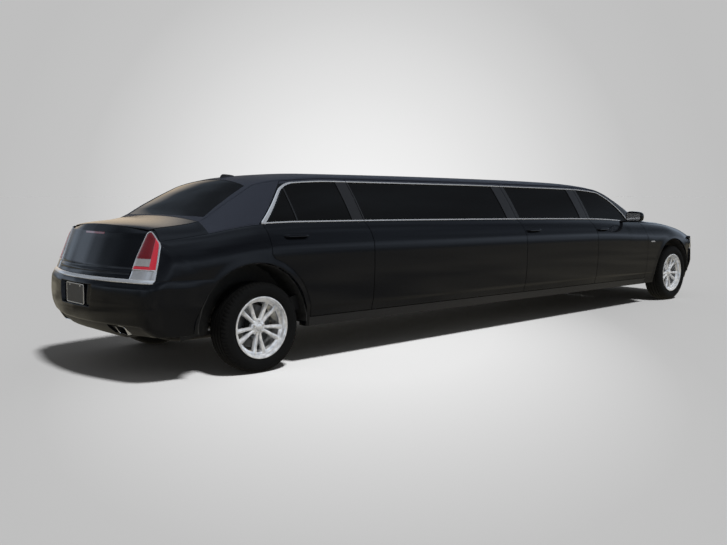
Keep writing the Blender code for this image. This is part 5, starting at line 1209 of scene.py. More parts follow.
for word, sign in bothSides:
    u = np.concatenate([[0, 0.02], np.linspace(0.05, 0.66, 14), [0.69, 0.71, 0.73, 0.76],
                        np.linspace(0.80, 0.97, 6), [1.0]])
    w = np.concatenate([np.linspace(lampFoot, 0.744, 4), [0.748], np.linspace(0.755, 0.795, 5), [0.800]])
    high = np.linspace(0, 1, 16)[1:]
    z = np.concatenate([np.repeat(w[:, None], len(u), 1),
                        lampBreak + high[:, None] * (lensTop(u)[None, :] - lampBreak)])
    y = lampInner(z) + 0.006 + u[None, :] * (lampOuter(z) - lampInner(z) - 0.012)
    across = np.broadcast_to(u[None, :], z.shape)
    crown = -0.004 * np.sin(np.clip(across, 0, 1) * math.pi)
    column = smoothStep(across, 0.70, 0.73)
    block = smoothStep(z, 0.744, 0.748) * smoothStep(-z, -0.803, -0.798) * smoothStep(across, 0.0, 0.05)
    push = crown - 0.003 * column + 0.002 * block * (1 - column)
    verts, quads, zones = endPatch("rear", sign * y, z, 0.02, push)
    cu, cz = (across[:-1, :-1] + across[1:, 1:]) / 2, (z[:-1, :-1] + z[1:, 1:]) / 2
    kinds = np.where(cu > 0.715, 0, np.where((cz > 0.746) & (cz < 0.800), 2, np.where(cz < 0.746, 0, 1)))
    zones[:kinds.size] = kinds.ravel()
    zones[kinds.size:] = 1
    makeMesh(f"tailLens_{word}", verts, quads, [redLens, deepRedLens, greyLens], zones, bevel=0.0012,
             slotName=f"tail_lamp_{word}", replaced=[f"tail_lamp_{word}"])

    # Painted corner above the lens, and the housing behind it
    t = np.linspace(0, 1, 9)
    low = lensTop(t)[None, :] + 0.002
    cz = low + np.linspace(0, 1, 4)[:, None] * (0.9985 - low)
    cy = lampInner(cz) + 0.001 + t[None, :] * (lampOuter(cz) - lampInner(cz) - 0.001)
    makeSolids(f"lampCorner_{word}", [endPatch("rear", sign * cy, cz, 0.03)[:2]], [paint], bevel=0.001)
    hz, ht = crossed(np.linspace(0.655, 0.99, 8), np.linspace(0, 1, 6))
    hy = lampInner(hz) + ht * (lampOuter(hz) - lampInner(hz))
    makeSolids(f"lampHousing_{word}", [endPatch("rear", sign * hy, hz, 0.04, 0.019)[:2]], [sealRubber])

    # Bright rim round the lens, wider on its outer side
    rimY = np.concatenate([np.linspace(0, 1, 8), np.ones(9), np.linspace(1, 0, 14)[1:], np.zeros(12)[1:]])
    rimZ = np.concatenate([np.full(8, lampFoot), np.linspace(lampFoot, lensTop(1.0), 10)[1:],
                           lensTop(np.linspace(1, 0, 14)[1:]), np.linspace(lensTop(0.0), lampFoot, 13)[1:-1]])
    ry = lampInner(rimZ) + 0.005 + rimY * (lampOuter(rimZ) - lampInner(rimZ) - 0.011)
    points, normals = endPoint("rear", sign * ry, rimZ, -0.001)
    wide = np.where(rimY > 0.98, 1.5, 0.8)
    rim = sweep(points, normals, rounded(0.0085, 0.0055, 0.004), closed=True,
                scale=np.stack([wide, np.ones(len(wide))], -1))
    makeSolids(f"lampRim_{word}", [rim], [chrome], slotName=f"tail_lamp_{word}")

    # Bright foot under the lens
    fz, ft = crossed([footLow, 0.655, 0.665, 0.685, 0.705, 0.714, footHigh],
                     np.concatenate([[0, 0.03], np.linspace(0.1, 0.9, 9), [0.97, 1.0]]))
    fy = lampInner(fz) + 0.002 + ft * (lampOuter(fz) - lampInner(fz) - 0.004)
    edge = np.minimum(np.minimum(ft, 1 - ft) / 0.05, np.minimum(fz - footLow, footHigh - fz) / 0.004)
    foot = endPatch("rear", sign * fy, fz, 0.02, -0.005 * np.sqrt(np.clip(edge, 0, 1)))
    makeSolids(f"lampFoot_{word}", [foot[:2]], [chrome])

    # Exhaust tip: a flattened tube with slanted sides and a dark bore
    corner = [(-0.082, 0.033), (0.082, 0.033), (0.068, -0.033), (-0.068, -0.033)]
    outline = roundedProfile(corner, 0.018, 5)
    rings = []
    for x, size in ((rearX - 0.80, 1.0), (rearX - 0.955, 1.0), (rearX - 0.976, 1.02), (rearX - 0.979, 1.01),
                    (rearX - 0.977, 0.96), (rearX - 0.965, 0.92), (rearX - 0.935, 0.91)):
        rings.append([(x + 0.6 * (0.033 - b), sign * 0.497 + a * size, 0.270 + b * (2 * size - 1))
                      for a, b in outline])
    verts, quads = capped(rings)
    zones = np.repeat([0, 0, 0, 0, 1, 1, 1, 1], len(outline))
    makeMesh(f"exhaustTip_{word}", verts, outwardFaces(verts, quads), [chrome, sealRubber], zones,
             slotName="exhaust", replaced=["exhaust"] if sign < 0 else [])

    route = [(x, sign * y, z) for x, y, z in (
        (rearX - 0.80, 0.30, 0.24), (rearX - 0.70, 0.30, 0.215), (rearX - 0.30, 0.24, 0.110),
        (rearX + 0.45, 0.22, 0.110), (rearX + 0.80, 0.20, 0.1867), (frontX - 0.70, 0.20, 0.1867))]
    marks = np.cumsum([0] + [math.dist(a, b) for a, b in zip(route, route[1:])])
    path = smoothCurve(marks, np.array(route), np.concatenate([np.linspace(0, marks[4], 40), [marks[5]]]))
    pipes.append(sweep(path, [(0, 0, 1)] * 41, circle(0.028, 14)))

# Bright strip along the top of the rear bumper
sz, sy = crossed([stripLow, 0.6305, 0.635, 0.642, 0.648, 0.6525, stripHigh], spaced([-0.846, 0.846], 0.03))
edge = np.clip(np.minimum(sz - stripLow, stripHigh - sz) / 0.004, 0, 1)
makeSolids("bumperStrip", [endPatch("rear", sy, sz, 0.006, -0.0055 * np.sqrt(edge))[:2]], [chrome])

# Blank plate in a slim frame, on the recess's back
plateX = tailX + 0.0265


def prism(ring, rear, front, middle=0.0, crown=0.0):
    # A flat plate between two places along x, from (y, z) points; crown moves the rear face's middle point.
    size = len(ring)
    verts = np.array([(rear, a, b) for a, b in ring] + [(front, a, b) for a, b in ring]
                     + [(rear + crown, 0, middle), (front, 0, middle)])
    near, after = np.arange(size), np.roll(np.arange(size), -1)
    first, last = np.full(size, 2 * size), np.full(size, 2 * size + 1)
    return verts, np.concatenate([np.stack([near, after, after + size, near + size], -1),
                                  np.stack([after, near, first, first], -1),
                                  np.stack([near + size, after + size, last, last], -1)])


def box(halfY, low, high):
    return [(-halfY, low), (halfY, low), (halfY, high), (-halfY, high)]


ringPoints = [(plateX - 0.008, a, b) for a, b in roundedProfile(box(0.150, 0.435, 0.583), 0.010, 5)]
parts = [prism(roundedProfile(box(0.152, 0.433, 0.585), 0.010, 5), plateX - 0.008, plateX, 0.509),
         (*sweep(ringPoints, [(-1, 0, 0)] * len(ringPoints), rounded(0.006, 0.002), closed=True), 1)]
for a in (-0.09, 0.09):
    ring, faces = lathe([(0.0004, 0.004), (0.005, 0.0035), (0.006, 0.0), (0.0004, 0.0)], 14)
    parts.append((np.stack([plateX - 0.0078 - ring[:, 1], a + ring[:, 0], 0.570 + ring[:, 2]], -1), faces, 1))
makeSolids("plateBlank", parts, [plateFinish, chrome])

# Upper brake light, under the deck's edge
by, bz = crossed(np.linspace(-0.16, 0.16, 15), [0.962, 0.965, 0.972, 0.976])
makeSolids("upperBrakeLight", [endPatch("rear", by, bz, 0.006, -0.0012)[:2]], [deepRedLens], body="boot_lid")
print("rear end made")


# Front end: grille, nose shelf, headlamps and mirrors
grilleRing = roundedProfile(box(0.368, 0.427, 0.728), 0.025, 7)
dense = []
for (a, b), (c, d) in zip(grilleRing, np.roll(grilleRing, -1, 0)):
    count = max(int(math.hypot(c - a, d - b) / 0.04), 1)
    dense += [(a + (c - a) * k / count, b + (d - b) * k / count) for k in range(count)]
dense = np.array(dense)
points, normals = endPoint("front", dense[:, 0], dense[:, 1], 0.012)
parts = [(*sweep(points, normals, rounded(0.030, 0.010, 0.02), closed=True), 0)]
for k in range(6):
    z = 0.440 + (0.715 - 0.440) * (k + 1) / 7
    y = np.linspace(-0.358, 0.358, 25)
    points, normals = endPoint("front", y, np.full(25, z), 0.020)
    parts.append((*sweep(points, normals, rounded(0.012, 0.010, 0.014)), 0))
my, mz = crossed(np.linspace(-0.383, 0.383, 20), np.linspace(0.412, 0.743, 10))
parts.append((*endPatch("front", my, mz, 0.006, 0.050)[:2], 1))
makeSolids("grilleBright", parts, [chrome, blackPlastic], slotName="grille", replaced=["grille"])

sy, depthShare = crossed(np.linspace(-0.85, 0.85, 41), np.linspace(0, 1, 4))
shelfX = endX("front", 0.770, np.abs(sy)) - 0.008 - 0.15 * depthShare
shelf = [np.stack([shelfX, sy, 0.762 + 0.012 * depthShare - drop], -1) for drop in (0.0, 0.005)]
makeSolids("noseShelf", [solidSheet(*shelf)[:2]], [blackPlastic])


coverLow, coverHigh, coverInner = 0.6115, 0.7505, 0.4315
mirrorX, mirrorOut, mirrorHigh = frontX - 1.145, 0.990, 1.052


def power(value, exponent):
    return np.sign(value) * np.abs(value)**exponent


for word, sign in bothSides:
    # A clear cover, a dark bowl behind it and two round lamps inside
    lampZ = np.concatenate([[coverLow, 0.614], np.linspace(0.62, 0.742, 7), [0.748, coverHigh]])
    share, gz = crossed(np.linspace(0, 1, 26), lampZ)
    limit = frontLimit(gz)[1] - 0.0025
    gy = coverInner + share * (limit - coverInner)
    upright, sideways = np.minimum(gz - coverLow, coverHigh - gz), np.minimum(gy - coverInner, limit - gy)
    edge = np.clip(np.minimum(upright / 0.006, sideways / 0.01), 0, 1)
    push = 0.0015 - 0.0035 * np.sqrt(edge)
    makeSolids(f"lampCover_{word}", [endPatch("front", sign * gy, gz, 0.003, push)[:2]], [clearGlass],
               slotName=f"headlamp_{word}", replaced=[f"headlamp_{word}"])
    bowl = 0.046 - 0.030 * (1 - edge)
    makeSolids(f"lampBowl_{word}", [endPatch("front", sign * gy, gz, 0.008, bowl)[:2]], [darkMetal])
    rounds = []
    for across, radius in ((0.535, 0.050), (0.680, 0.044)):
        base = endPoint("front", np.array(sign * across), np.array(0.681), 0.040)[0]
        bezel = [(0.0004, 0.006), (radius * 0.62, 0.010), (radius * 0.80, 0.004), (radius * 0.86, 0.026),
                 (radius, 0.026), (radius, -0.006), (0.0004, -0.006)]
        lens = [(0.0004, 0.030), (radius * 0.35, 0.026), (radius * 0.60, 0.012), (radius * 0.60, 0.008),
                (0.0004, 0.008)]
        for zone, (profile, sides) in enumerate(((bezel, 48), (lens, 40))):
            verts, faces = lathe(roundedProfile(profile, 0.002), sides)
            rounds.append((base + verts[:, [1, 0, 2]], faces, zone))
    makeSolids(f"lampRounds_{word}", rounds, [chrome, clearGlass])

    # Mirror: a swept shell with a glass set in its rear face
    a, b = crossed(np.linspace(0, 2 * math.pi, 49)[:-1], np.linspace(-math.pi / 2, math.pi / 2, 28))
    ox = 0.0625 * power(np.cos(b), 0.55) * power(np.cos(a), 0.60)
    oy = 0.1070 * power(np.cos(b), 0.55) * power(np.sin(a), 0.60)
    oz = 0.0645 * power(np.sin(b), 0.62)
    ox = np.where(ox < -0.036, -0.036 - 0.004 * (1 - (oz / 0.066)**2), ox)
    ox = ox - 0.10 * np.abs(oy) * (ox > 0)
    oz = oz * (1 - 0.10 * (oy / 0.107))
    centre = [mirrorX, sign * mirrorOut, mirrorHigh]
    verts = np.stack([ox, sign * oy, oz], -1) + centre
    shell = (verts.reshape(-1, 3), gridFaces((49, 28)) % (48 * 28))
    ring = roundedProfile([(-0.088, -0.046), (0.088, -0.042), (0.088, 0.042), (-0.088, 0.046)], 0.028, 7)
    glass, faces = prism(ring, -0.0425, -0.0385, crown=-0.0005)
    foot = float(skin(frontX - 1.15, level(frontX - 1.15, 0.99))[0])
    arm = sweep([(frontX - 1.150, sign * (foot - 0.004), 0.990), (frontX - 1.148, sign * (foot + 0.02), 0.993),
                 (mirrorX, sign * 0.925, 1.004), (frontX - 1.143, sign * 0.960, 1.020)],
                [(0, 0, 1)] * 4, circle(0.036, 16, 0.014))
    makeSolids(f"mirrorShell_{word}", [shell, (glass * [1, sign, 1] + centre, faces, 1), (*arm, 2)],
               [paint, chrome, blackPlastic], body=f"door_front_{word}", slotName=f"mirror_{word}",
               replaced=[f"mirror_{word}"])
print("front end made")


def arcSheet(arch, radius, turn, y):
    across = y * np.ones(turn.shape)
    return np.stack([arch[0] + radius * np.cos(turn), across, arch[1] + radius * np.sin(turn)], -1)


# Arch liners: a ribbed black half-tube round each wheel, with an inner plate at the rear
for place, arch in (("front", frontArch), ("rear", rearArch)):
    for word, sign in bothSides:
        turn, across = crossed(np.radians(np.linspace(1, 179, 61)), np.linspace(0.66, 0.925, 12))
        radius = arch[2] - 0.008 - 0.004 * (0.5 + 0.5 * np.cos(turn * 24))
        parts = [solidSheet(*(arcSheet(arch, r, turn, sign * across) for r in (radius + 0.006, radius)))[:2]]
        if place == "rear":
            turn, radius = crossed(np.radians(np.linspace(-9, 189, 67)), np.linspace(0.26, arch[2] - 0.006, 7))
            parts.append(solidSheet(*(arcSheet(arch, radius, turn, sign * y) for y in (0.664, 0.658)))[:2])
        makeSolids(f"archLiner_{place}_{word}", parts, [underside])

# Roof seams, pillar seams, antenna fin, wipers and side markers
seams = []
for sign in (-1, 1):
    x = spaced([roofRear + 0.02, roofFront - 0.30], 0.06)
    seams.append(skinStrip(x, np.full(len(x), 1.995), sign, 0.006, 0.0018))
    x = spaced([roofRear + 0.004, rearX + 0.050 - 0.006], 0.03)
    seams.append(skinStrip(x, np.full(len(x), 1.030), sign, 0.007, 0.0022))
makeSolids("roofSeams", seams, [vinyl])

x = np.linspace(-0.075, 0.075, 15)
finHigh = 0.030 * np.clip((x + 0.075) / 0.03, 0, 1)**0.5 * np.clip((0.075 - x) / 0.13, 0, 1)**0.7
rings = []
for dx, high in zip(x, finHigh):
    base = float(skin(rearX + 0.287 + dx, 3.0)[1]) - 0.002
    half = 0.017 * math.sqrt(max(1 - (dx / 0.078)**2, 0.02))
    rings.append([(rearX + 0.287 + dx, half * c, base + (high + 0.003) * e) for c, e in
                  ((-1, 0), (-0.9, 0.12), (-0.5, 0.35), (-0.28, 0.72), (-0.12, 1.0), (0.12, 1.0), (0.28, 0.72),
                   (0.5, 0.35), (0.9, 0.12), (1, 0))])
makeSolids("antennaFin", [capped(rings)], [blackPlastic])

wipers = []
for start, end in (((0.10, -0.745), (0.62, -0.835)), ((-0.52, -0.765), (0.04, -0.79))):
    y = np.linspace(start[0], end[0], 18)
    x = frontX + np.linspace(start[1], end[1], 18) + 0.10 * (1 - (y / 0.69)**2)
    v = 3 - np.abs(y) / railWidth(x)
    s = np.where(y < 0, -1.0, 1.0)
    points = skinPoints(x, v, s, -0.010)
    wipers.append(sweep(points, [(0.3, 0, 1)] * 18, rounded(0.012, 0.010, 0.006)))
makeSolids("wipers", wipers, [blackPlastic])

for word, sign in bothSides:
    x = rearX + 6.01 + np.linspace(-0.045, 0.045, 9)
    z = np.full(9, 0.735)
    makeSolids(f"sideMarker_{word}", [skinStrip(x, level(x, z), sign, 0.016, 0.003)], [greyLens])
print("roof and small trim made")


# Padded seats: a rounded box, crowned on every face, with sewn channels across its top
def padForm(low, high, crown, channels=(), axis=1, face=5, lean=0.0, steps=22):
    low, high = np.asarray(low, float), np.asarray(high, float)
    centre, half = (low + high) / 2, (high - low) / 2
    radius = min(half) * 0.55
    s = np.sin(np.linspace(-1, 1, steps) * math.pi / 2)
    s = np.sign(s) * np.abs(s)**0.9
    verts, quads, start = [], [], 0
    for k in range(6):
        along, sign = k // 2, (-1 if k % 2 == 0 else 1)
        a, b = crossed(s, s)
        unit = np.zeros(a.shape + (3,))
        unit[..., along] = sign
        unit[..., (along + 1) % 3] = a
        unit[..., (along + 2) % 3] = b
        inner = np.clip(unit * half, -(half - radius), half - radius)
        way = unit * half - inner
        long = np.linalg.norm(way, axis=-1)[..., None]
        point = inner + way / np.maximum(long, 1e-9) * radius
        bulge = crown * (1 - a**2) * (1 - b**2)
        point[..., along] += sign * bulge
        if k == face:
            spread = unit[..., axis]
            for place in channels:
                point[..., along] -= sign * 0.014 * np.exp(-((spread - place) / 0.035)**2)
        verts.append((point + centre).reshape(-1, 3))
        quads.append(gridFaces(a.shape, start) if sign > 0 else gridFaces(a.shape, start)[:, ::-1])
        start += a.size
    verts = np.concatenate(verts)
    verts[:, 0] -= lean * (verts[:, 2] - low[2])
    keep, back = np.unique(np.round(verts, 6), axis=0, return_index=True, return_inverse=True)[1:]
    verts, quads = verts[keep], back.reshape(-1)[np.concatenate(quads)]
    return verts, outwardFaces(verts, quads)


def makePad(name, parts, replaced, slotName):
    makeSolids(name, parts, [leather], slotName=slotName, replaced=replaced, sharp=60)


channels = (-0.66, -0.33, 0.0, 0.33, 0.66)
seatRear, seatFront = frontX - 2.00, frontX - 1.42
for k, (low, high) in enumerate(((0.115, 0.585), (-0.585, -0.115))):
    makePad(f"frontSeat_{k}", [
        padForm((seatRear + 0.12, low, 0.30), (seatFront - 0.005, high, 0.545), 0.012, channels),
        padForm((seatRear + 0.03, low, 0.46), (seatRear + 0.17, high, 0.98), 0.016, channels, face=1, lean=0.16),
        padForm((seatRear - 0.055, low + 0.10, 1.00), (seatRear + 0.035, high - 0.10, 1.095), 0.008),
    ], ["front_seats"] if k == 0 else [], "front_seats")
silencer = padForm((rearX - 0.885, -0.41, 0.188), (rearX - 0.705, 0.41, 0.298), 0.006)
makeSolids("silencerAndPipes", [silencer, *pipes], [darkMetal], sharp=60, slotName="exhaust")
console = padForm((frontX - 1.94, -0.085, 0.27), (frontX - 1.46, 0.085, 0.49), 0.004)
makeSolids("console", [console], [blackPlastic], sharp=60)

couchRear = rearX + 0.42
bench = [padForm((couchRear + 0.16, y0, 0.33), (couchRear + 0.555, y1, 0.552), 0.012, (-0.5, 0.0, 0.5))
         for y0, y1 in ((-0.69, -0.235), (-0.23, 0.23), (0.235, 0.69))]
bench += [padForm((couchRear + 0.04, y0, 0.50), (couchRear + 0.16, y1, 1.005), 0.014, (-0.5, 0.0, 0.5),
                  face=1, lean=0.22) for y0, y1 in ((-0.655, -0.22), (-0.215, 0.215), (0.22, 0.655))]
makePad("rearBench", bench, ["couch"], "couch")
wallX = frontX - 2.260
sideStart, sideEnd = rearX + 0.99, wallX - 0.205
side = []
for k in range(5):
    x0 = sideStart + (sideEnd - sideStart) * k / 5 + 0.003
    x1 = sideStart + (sideEnd - sideStart) * (k + 1) / 5 - 0.003
    side.append(padForm((x0, 0.285, 0.33), (x1, 0.60, 0.552), 0.012, channels, axis=0))
    side.append(padForm((x0, 0.612, 0.50), (x1, 0.742, 0.912), 0.010, channels, axis=0, face=2))
makePad("sideBench", side, [], "couch")
base = [padForm((couchRear + 0.01, -0.68, 0.262), (couchRear + 0.54, 0.68, 0.335), 0.0),
        padForm((sideStart - 0.04, 0.30, 0.262), (sideEnd - 0.01, 0.74, 0.335), 0.0)]
makeSolids("couchPlinth", base, [trimCloth], sharp=60)

# Partition: a padded wall with a dark screen in its upper half
panels = [padForm((wallX + 0.004, -0.715 + 0.36 * k, 0.275), (wallX + 0.046, -0.365 + 0.36 * k, 0.895), 0.004,
                  (0.0,), face=0) for k in range(4)]
makePad("partitionPads", panels, ["partition"], "partition")
outline = roundedProfile([(-0.70, 0.90), (0.70, 0.90), (0.455, 1.368), (-0.455, 1.368)], 0.03, 5)
ring = [(wallX + 0.025, a, b) for a, b in outline]
frameBar = (*sweep(ring, [(-1, 0, 0)] * len(ring), rounded(0.030, 0.014, 0.014), closed=True), 0)
pane = (*prism([(a * 0.98, b) for a, b in outline], wallX + 0.020, wallX + 0.028, 1.13), 1)
makeSolids("partitionScreen", [frameBar, pane], [blackPlastic, darkGlass])


# Dashboard: a rounded shelf with a hood over the dials, vents, a screen and a steering wheel
dashX = frontX - 0.5903
profile = roundedProfile([(0.0, 0.62), (0.0, 0.93), (-0.30, 0.93), (-0.455, 0.86), (-0.40, 0.62)], 0.028, 5)
profile = np.concatenate([[a + (b - a) * k / 4 for k in range(4)]
                          for a, b in zip(profile, np.roll(profile, -1, 0))])
stretch = np.concatenate([[-0.655, -0.652, -0.645], np.linspace(-0.62, 0.62, 43), [0.645, 0.652, 0.655]])
shrink = np.interp(np.abs(stretch), [0.62, 0.645, 0.652, 0.655], [1, 0.985, 0.96, 0.93])
centre = profile.mean(0)
rings = centre + shrink[:, None, None] * (profile - centre)
hood = np.exp(-((stretch[:, None] - 0.36) / 0.15)**4) * smoothStep(-rings[..., 0], 0.20, 0.34)
rings[..., 1] += 0.030 * hood * smoothStep(rings[..., 1], 0.80, 0.86)
middle = smoothStep(-np.abs(stretch[:, None]), -0.16, -0.10)
rings[..., 0] -= 0.012 * middle * smoothStep(-rings[..., 0], 0.38, 0.42)
sideways = np.broadcast_to(stretch[:, None], rings.shape[:2])
shelf = capped(np.stack([dashX + rings[..., 0], sideways, rings[..., 1]], -1))
strip = [(dashX - 0.448 + 0.03 * (abs(y) > 0.14), y, 0.715) for y in np.linspace(-0.62, 0.62, 40)]
parts = [shelf, (*padForm((dashX - 0.452, -0.10, 0.745), (dashX - 0.436, 0.10, 0.845), 0.0), 1),
         padForm((dashX - 0.40, -0.118, 0.265), (dashX - 0.02, 0.118, 0.69), 0.004),
         (*sweep(strip, [(-1, 0, 0)] * 40, rounded(0.020, 0.006, 0.006)), 2)]
for y in (-0.56, -0.17, 0.17, 0.56):
    parts.append((*padForm((dashX - 0.452, y - 0.045, 0.775), (dashX - 0.436, y + 0.045, 0.835), 0.0), 3))
    for k in range(4):
        z = 0.787 + 0.012 * k
        slat = [(dashX - 0.454, y + 0.036 * s, z) for s in (-1, 0, 1)]
        parts.append((*sweep(slat, [(-1, 0, 0)] * 3, rounded(0.004, 0.003, 0.003)), 1))
makeSolids("dashSkin", parts, [blackPlastic, darkGlass, wood, chrome], sharp=50, slotName="dashboard",
           replaced=["dashboard"])

hub = np.array([dashX - 0.600, 0.36, 0.8605])
facing = np.array([-0.939, 0.0, 0.344])
upward = np.array([0.344, 0.0, 0.939])
ring = [hub + np.array([0, a, 0]) + b * upward for a, b in circle(0.178, 48)]
parts = [sweep(ring, [facing] * 48, circle(0.0135, 12, 0.0155), closed=True)]
for t in (0.12, math.pi - 0.12, 1.5 * math.pi - 0.22, 1.5 * math.pi + 0.22):
    way = math.cos(t) * np.array([0, 1, 0]) + math.sin(t) * upward
    spoke = [hub + way * r - facing * d
             for r, d in ((0.03, 0.020), (0.08, 0.018), (0.13, 0.010), (0.172, 0.0))]
    parts.append((*sweep(spoke, [facing] * 4, rounded(0.024, 0.012, 0.002)), 1))
boss = [(0.0004, 0.012), (0.040, 0.010), (0.058, -0.004), (0.050, -0.030), (0.0004, -0.030)]
disc, faces = lathe(roundedProfile(boss, 0.006), 40)
parts.append((hub + disc[:, :1] * [0, 1, 0] + disc[:, 1:2] * facing + disc[:, 2:3] * upward, faces))
post = [hub - facing * 0.02, hub - facing * 0.12, (dashX - 0.35, 0.36, 0.77)]
parts.append(sweep(post, [upward] * 3, circle(0.028, 12)))
makeSolids("steeringWheel", parts, [leather, chrome], sharp=50, slotName="dashboard")

# Bar cabinet: carcass, dark worktop, four drawer fronts, bright pulls
barRear, barFront = rearX + 1.452, fifthRear - 0.052
parts = [padForm((barRear, -0.758, 0.262), (barFront, -0.412, 0.815), 0.0),
         (*padForm((barRear - 0.001, -0.759, 0.808), (barFront + 0.001, -0.402, 0.838), 0.0), 1)]
drawer = (barFront - barRear - 0.024) / 4
for k in range(4):
    start, end = barRear + 0.015 + drawer * k, barRear + 0.009 + drawer * (k + 1)
    parts.append((*padForm((start, -0.414, 0.300), (end, -0.402, 0.795), 0.0), 2))
    pull = [(start + (end - start) * t, -0.400, 0.74) for t in (0.36, 0.45, 0.55, 0.64)]
    parts.append((*sweep(pull, [(0, 1, 0)] * 4, rounded(0.012, 0.010, 0.004)), 3))
makeSolids("barCabinet", parts, [wood, blackPlastic, wood, chrome], sharp=50, slotName="bar_cabinet",
           replaced=["bar_cabinet"])

# Engine: block, ribbed cover, intake pipe, battery and filler cap
parts = [(*padForm((frontX - 0.40, -0.27, 0.385), (frontX + 0.22, 0.27, 0.74), 0.0), 0),
         (*padForm((frontX - 0.36, -0.22, 0.72), (frontX + 0.16, 0.22, 0.835), 0.004,
                   (-0.7, -0.35, 0.0, 0.35, 0.7)), 1),
         (*padForm((frontX - 0.10, -0.355, 0.55), (frontX + 0.12, -0.285, 0.78), 0.0), 1),
         (*padForm((frontX - 0.30, 0.280, 0.50), (frontX + 0.02, 0.356, 0.80), 0.0), 1)]
cap, faces = lathe(roundedProfile([(0.0004, 0.020), (0.026, 0.020), (0.030, 0.0), (0.0004, 0.0)], 0.003), 28)
parts.append((np.stack([frontX + 0.05 + cap[:, 0], 0.12 + cap[:, 2], 0.818 + cap[:, 1]], -1), faces, 2))
hose = [(frontX + 0.10, 0.0, 0.76), (frontX + 0.20, 0.04, 0.77), (frontX + 0.225, 0.16, 0.72),
        (frontX + 0.10, 0.30, 0.66)]
bend = smoothCurve(np.arange(4.0), hose, np.linspace(0, 3, 24))
parts.append((*sweep(bend, [(0, 0, 1)] * 24, circle(0.034, 16)), 1))
makeSolids("engineSkin", parts, [darkMetal, blackPlastic, chrome], sharp=50, slotName="engine",
           replaced=["engine"])

# Armrests and pockets on the doors' inner faces
frontRest = (frontX - 1.62, frontX - 1.02)
for name, sign, rear, front in (
        ("door_rear_right", -1, rearX + 0.32, rearX + 0.80),
        ("door_fifth_right", -1, fifthRear + 0.18, fifthFront - 0.25),
        ("door_front_right", -1, *frontRest), ("door_front_left", 1, *frontRest)):
    x = np.linspace(rear, front, 20)
    parts = []
    for zone, (height, proud, section, taper) in enumerate((
            (0.66, 0.018, rounded(0.055, 0.030, 0.016), 0.6), (0.40, 0.010, rounded(0.12, 0.022, 0.010), 0.8))):
        v = level(x, np.full(20, height))
        points = skinPoints(x, v, sign, wall(v)) + [0, -sign * proud, 0]
        shape = np.stack([np.interp(np.arange(20), [0, 2, 17, 19], [taper, 1, 1, taper]), np.ones(20)], -1)
        parts.append((*sweep(points, [(0, -sign, 0)] * 20, section, scale=shape), zone))
    makeSolids(f"armrest_{name}", parts, [leather, blackPlastic], body=name, sharp=50)
print("cabin made")


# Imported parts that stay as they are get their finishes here
finishes = {
    "floor_pan": underside, "front_crossmember": darkMetal, "rear_axle": darkMetal, "side_frame_left": blackPlastic,
    "side_frame_right": blackPlastic, "knuckle_front_left": darkMetal, "knuckle_front_right": darkMetal,
}
for node, finish in finishes.items():
    for slot in bpy.data.objects[node].material_slots:
        slot.material = finish
print("finishes set")

# Stage: a grey backdrop brighter behind the car, a floor that meets it, one soft lamp overhead
cameraPlace = (-6.844, -6.045, 1.386)
lookDirection = (0.673, 0.738, -0.045)
backdrop = ((0.0, 0.52), (0.37, 0.55), (0.50, 0.60), (0.62, 0.65), (0.76, 0.73), (0.83, 0.77), (0.95, 0.86),
            (1.0, 0.91))
# What shiny parts mirror: ground to 0.50, then a bright horizon under a darker sky.
skyStops = (
    (0.0, (0.30, 0.27, 0.21)), (0.49, (0.34, 0.31, 0.25)), (0.50, (0.10, 0.11, 0.11)), (0.53, (0.34, 0.40, 0.48)),
    (0.59, (0.52, 0.61, 0.74)), (0.68, (0.15, 0.18, 0.22)), (0.80, (0.10, 0.12, 0.15)), (1.0, (0.32, 0.38, 0.46)),
)
# The floor's painted pool of light: its colour across the oval under the car, brightest in the middle.
floorPaintedPoolStops = ((0.0, 0.90), (0.2, 0.88), (0.325, 0.825), (0.45, 0.72), (0.55, 0.63), (0.65, 0.54), (0.70, 0.525),
              (1.0, 0.52))

# The lamp and the even sky give the open floor this much light.
lampPower, lampTilt, skyLight = 3.0, 0.50, 0.14
openLight = skyLight + lampPower * math.cos(lampTilt) / math.pi


def alongDirection(tree, direction, target):
    return addNode(tree, "VectorMath", {0: direction, 1: target}, operation="DOT_PRODUCT").outputs["Value"]


def mottled(tree, colour, vector, scale, low, high):
    # The colour, made darker and lighter in soft patches.
    noise = addNode(tree, "TexNoise", {"Scale": scale, "Detail": 5.0, "Vector": vector})
    spread = mapped(tree, noise.outputs["Fac"], 0.38, 0.62, low, high)
    return addNode(tree, "VectorMath", operation="SCALE", inputs={0: colour, "Scale": spread}).outputs["Vector"]


def backdropColour(tree, direction, scale):
    # Brightest along lookDirection, falling to its edge value 24 degrees off it.
    near = mapped(tree, alongDirection(tree, direction, lookDirection), 0.9127, 1.0)
    return colourRamp(tree, near, [(place, (grey * scale,) * 3) for place, grey in backdrop])


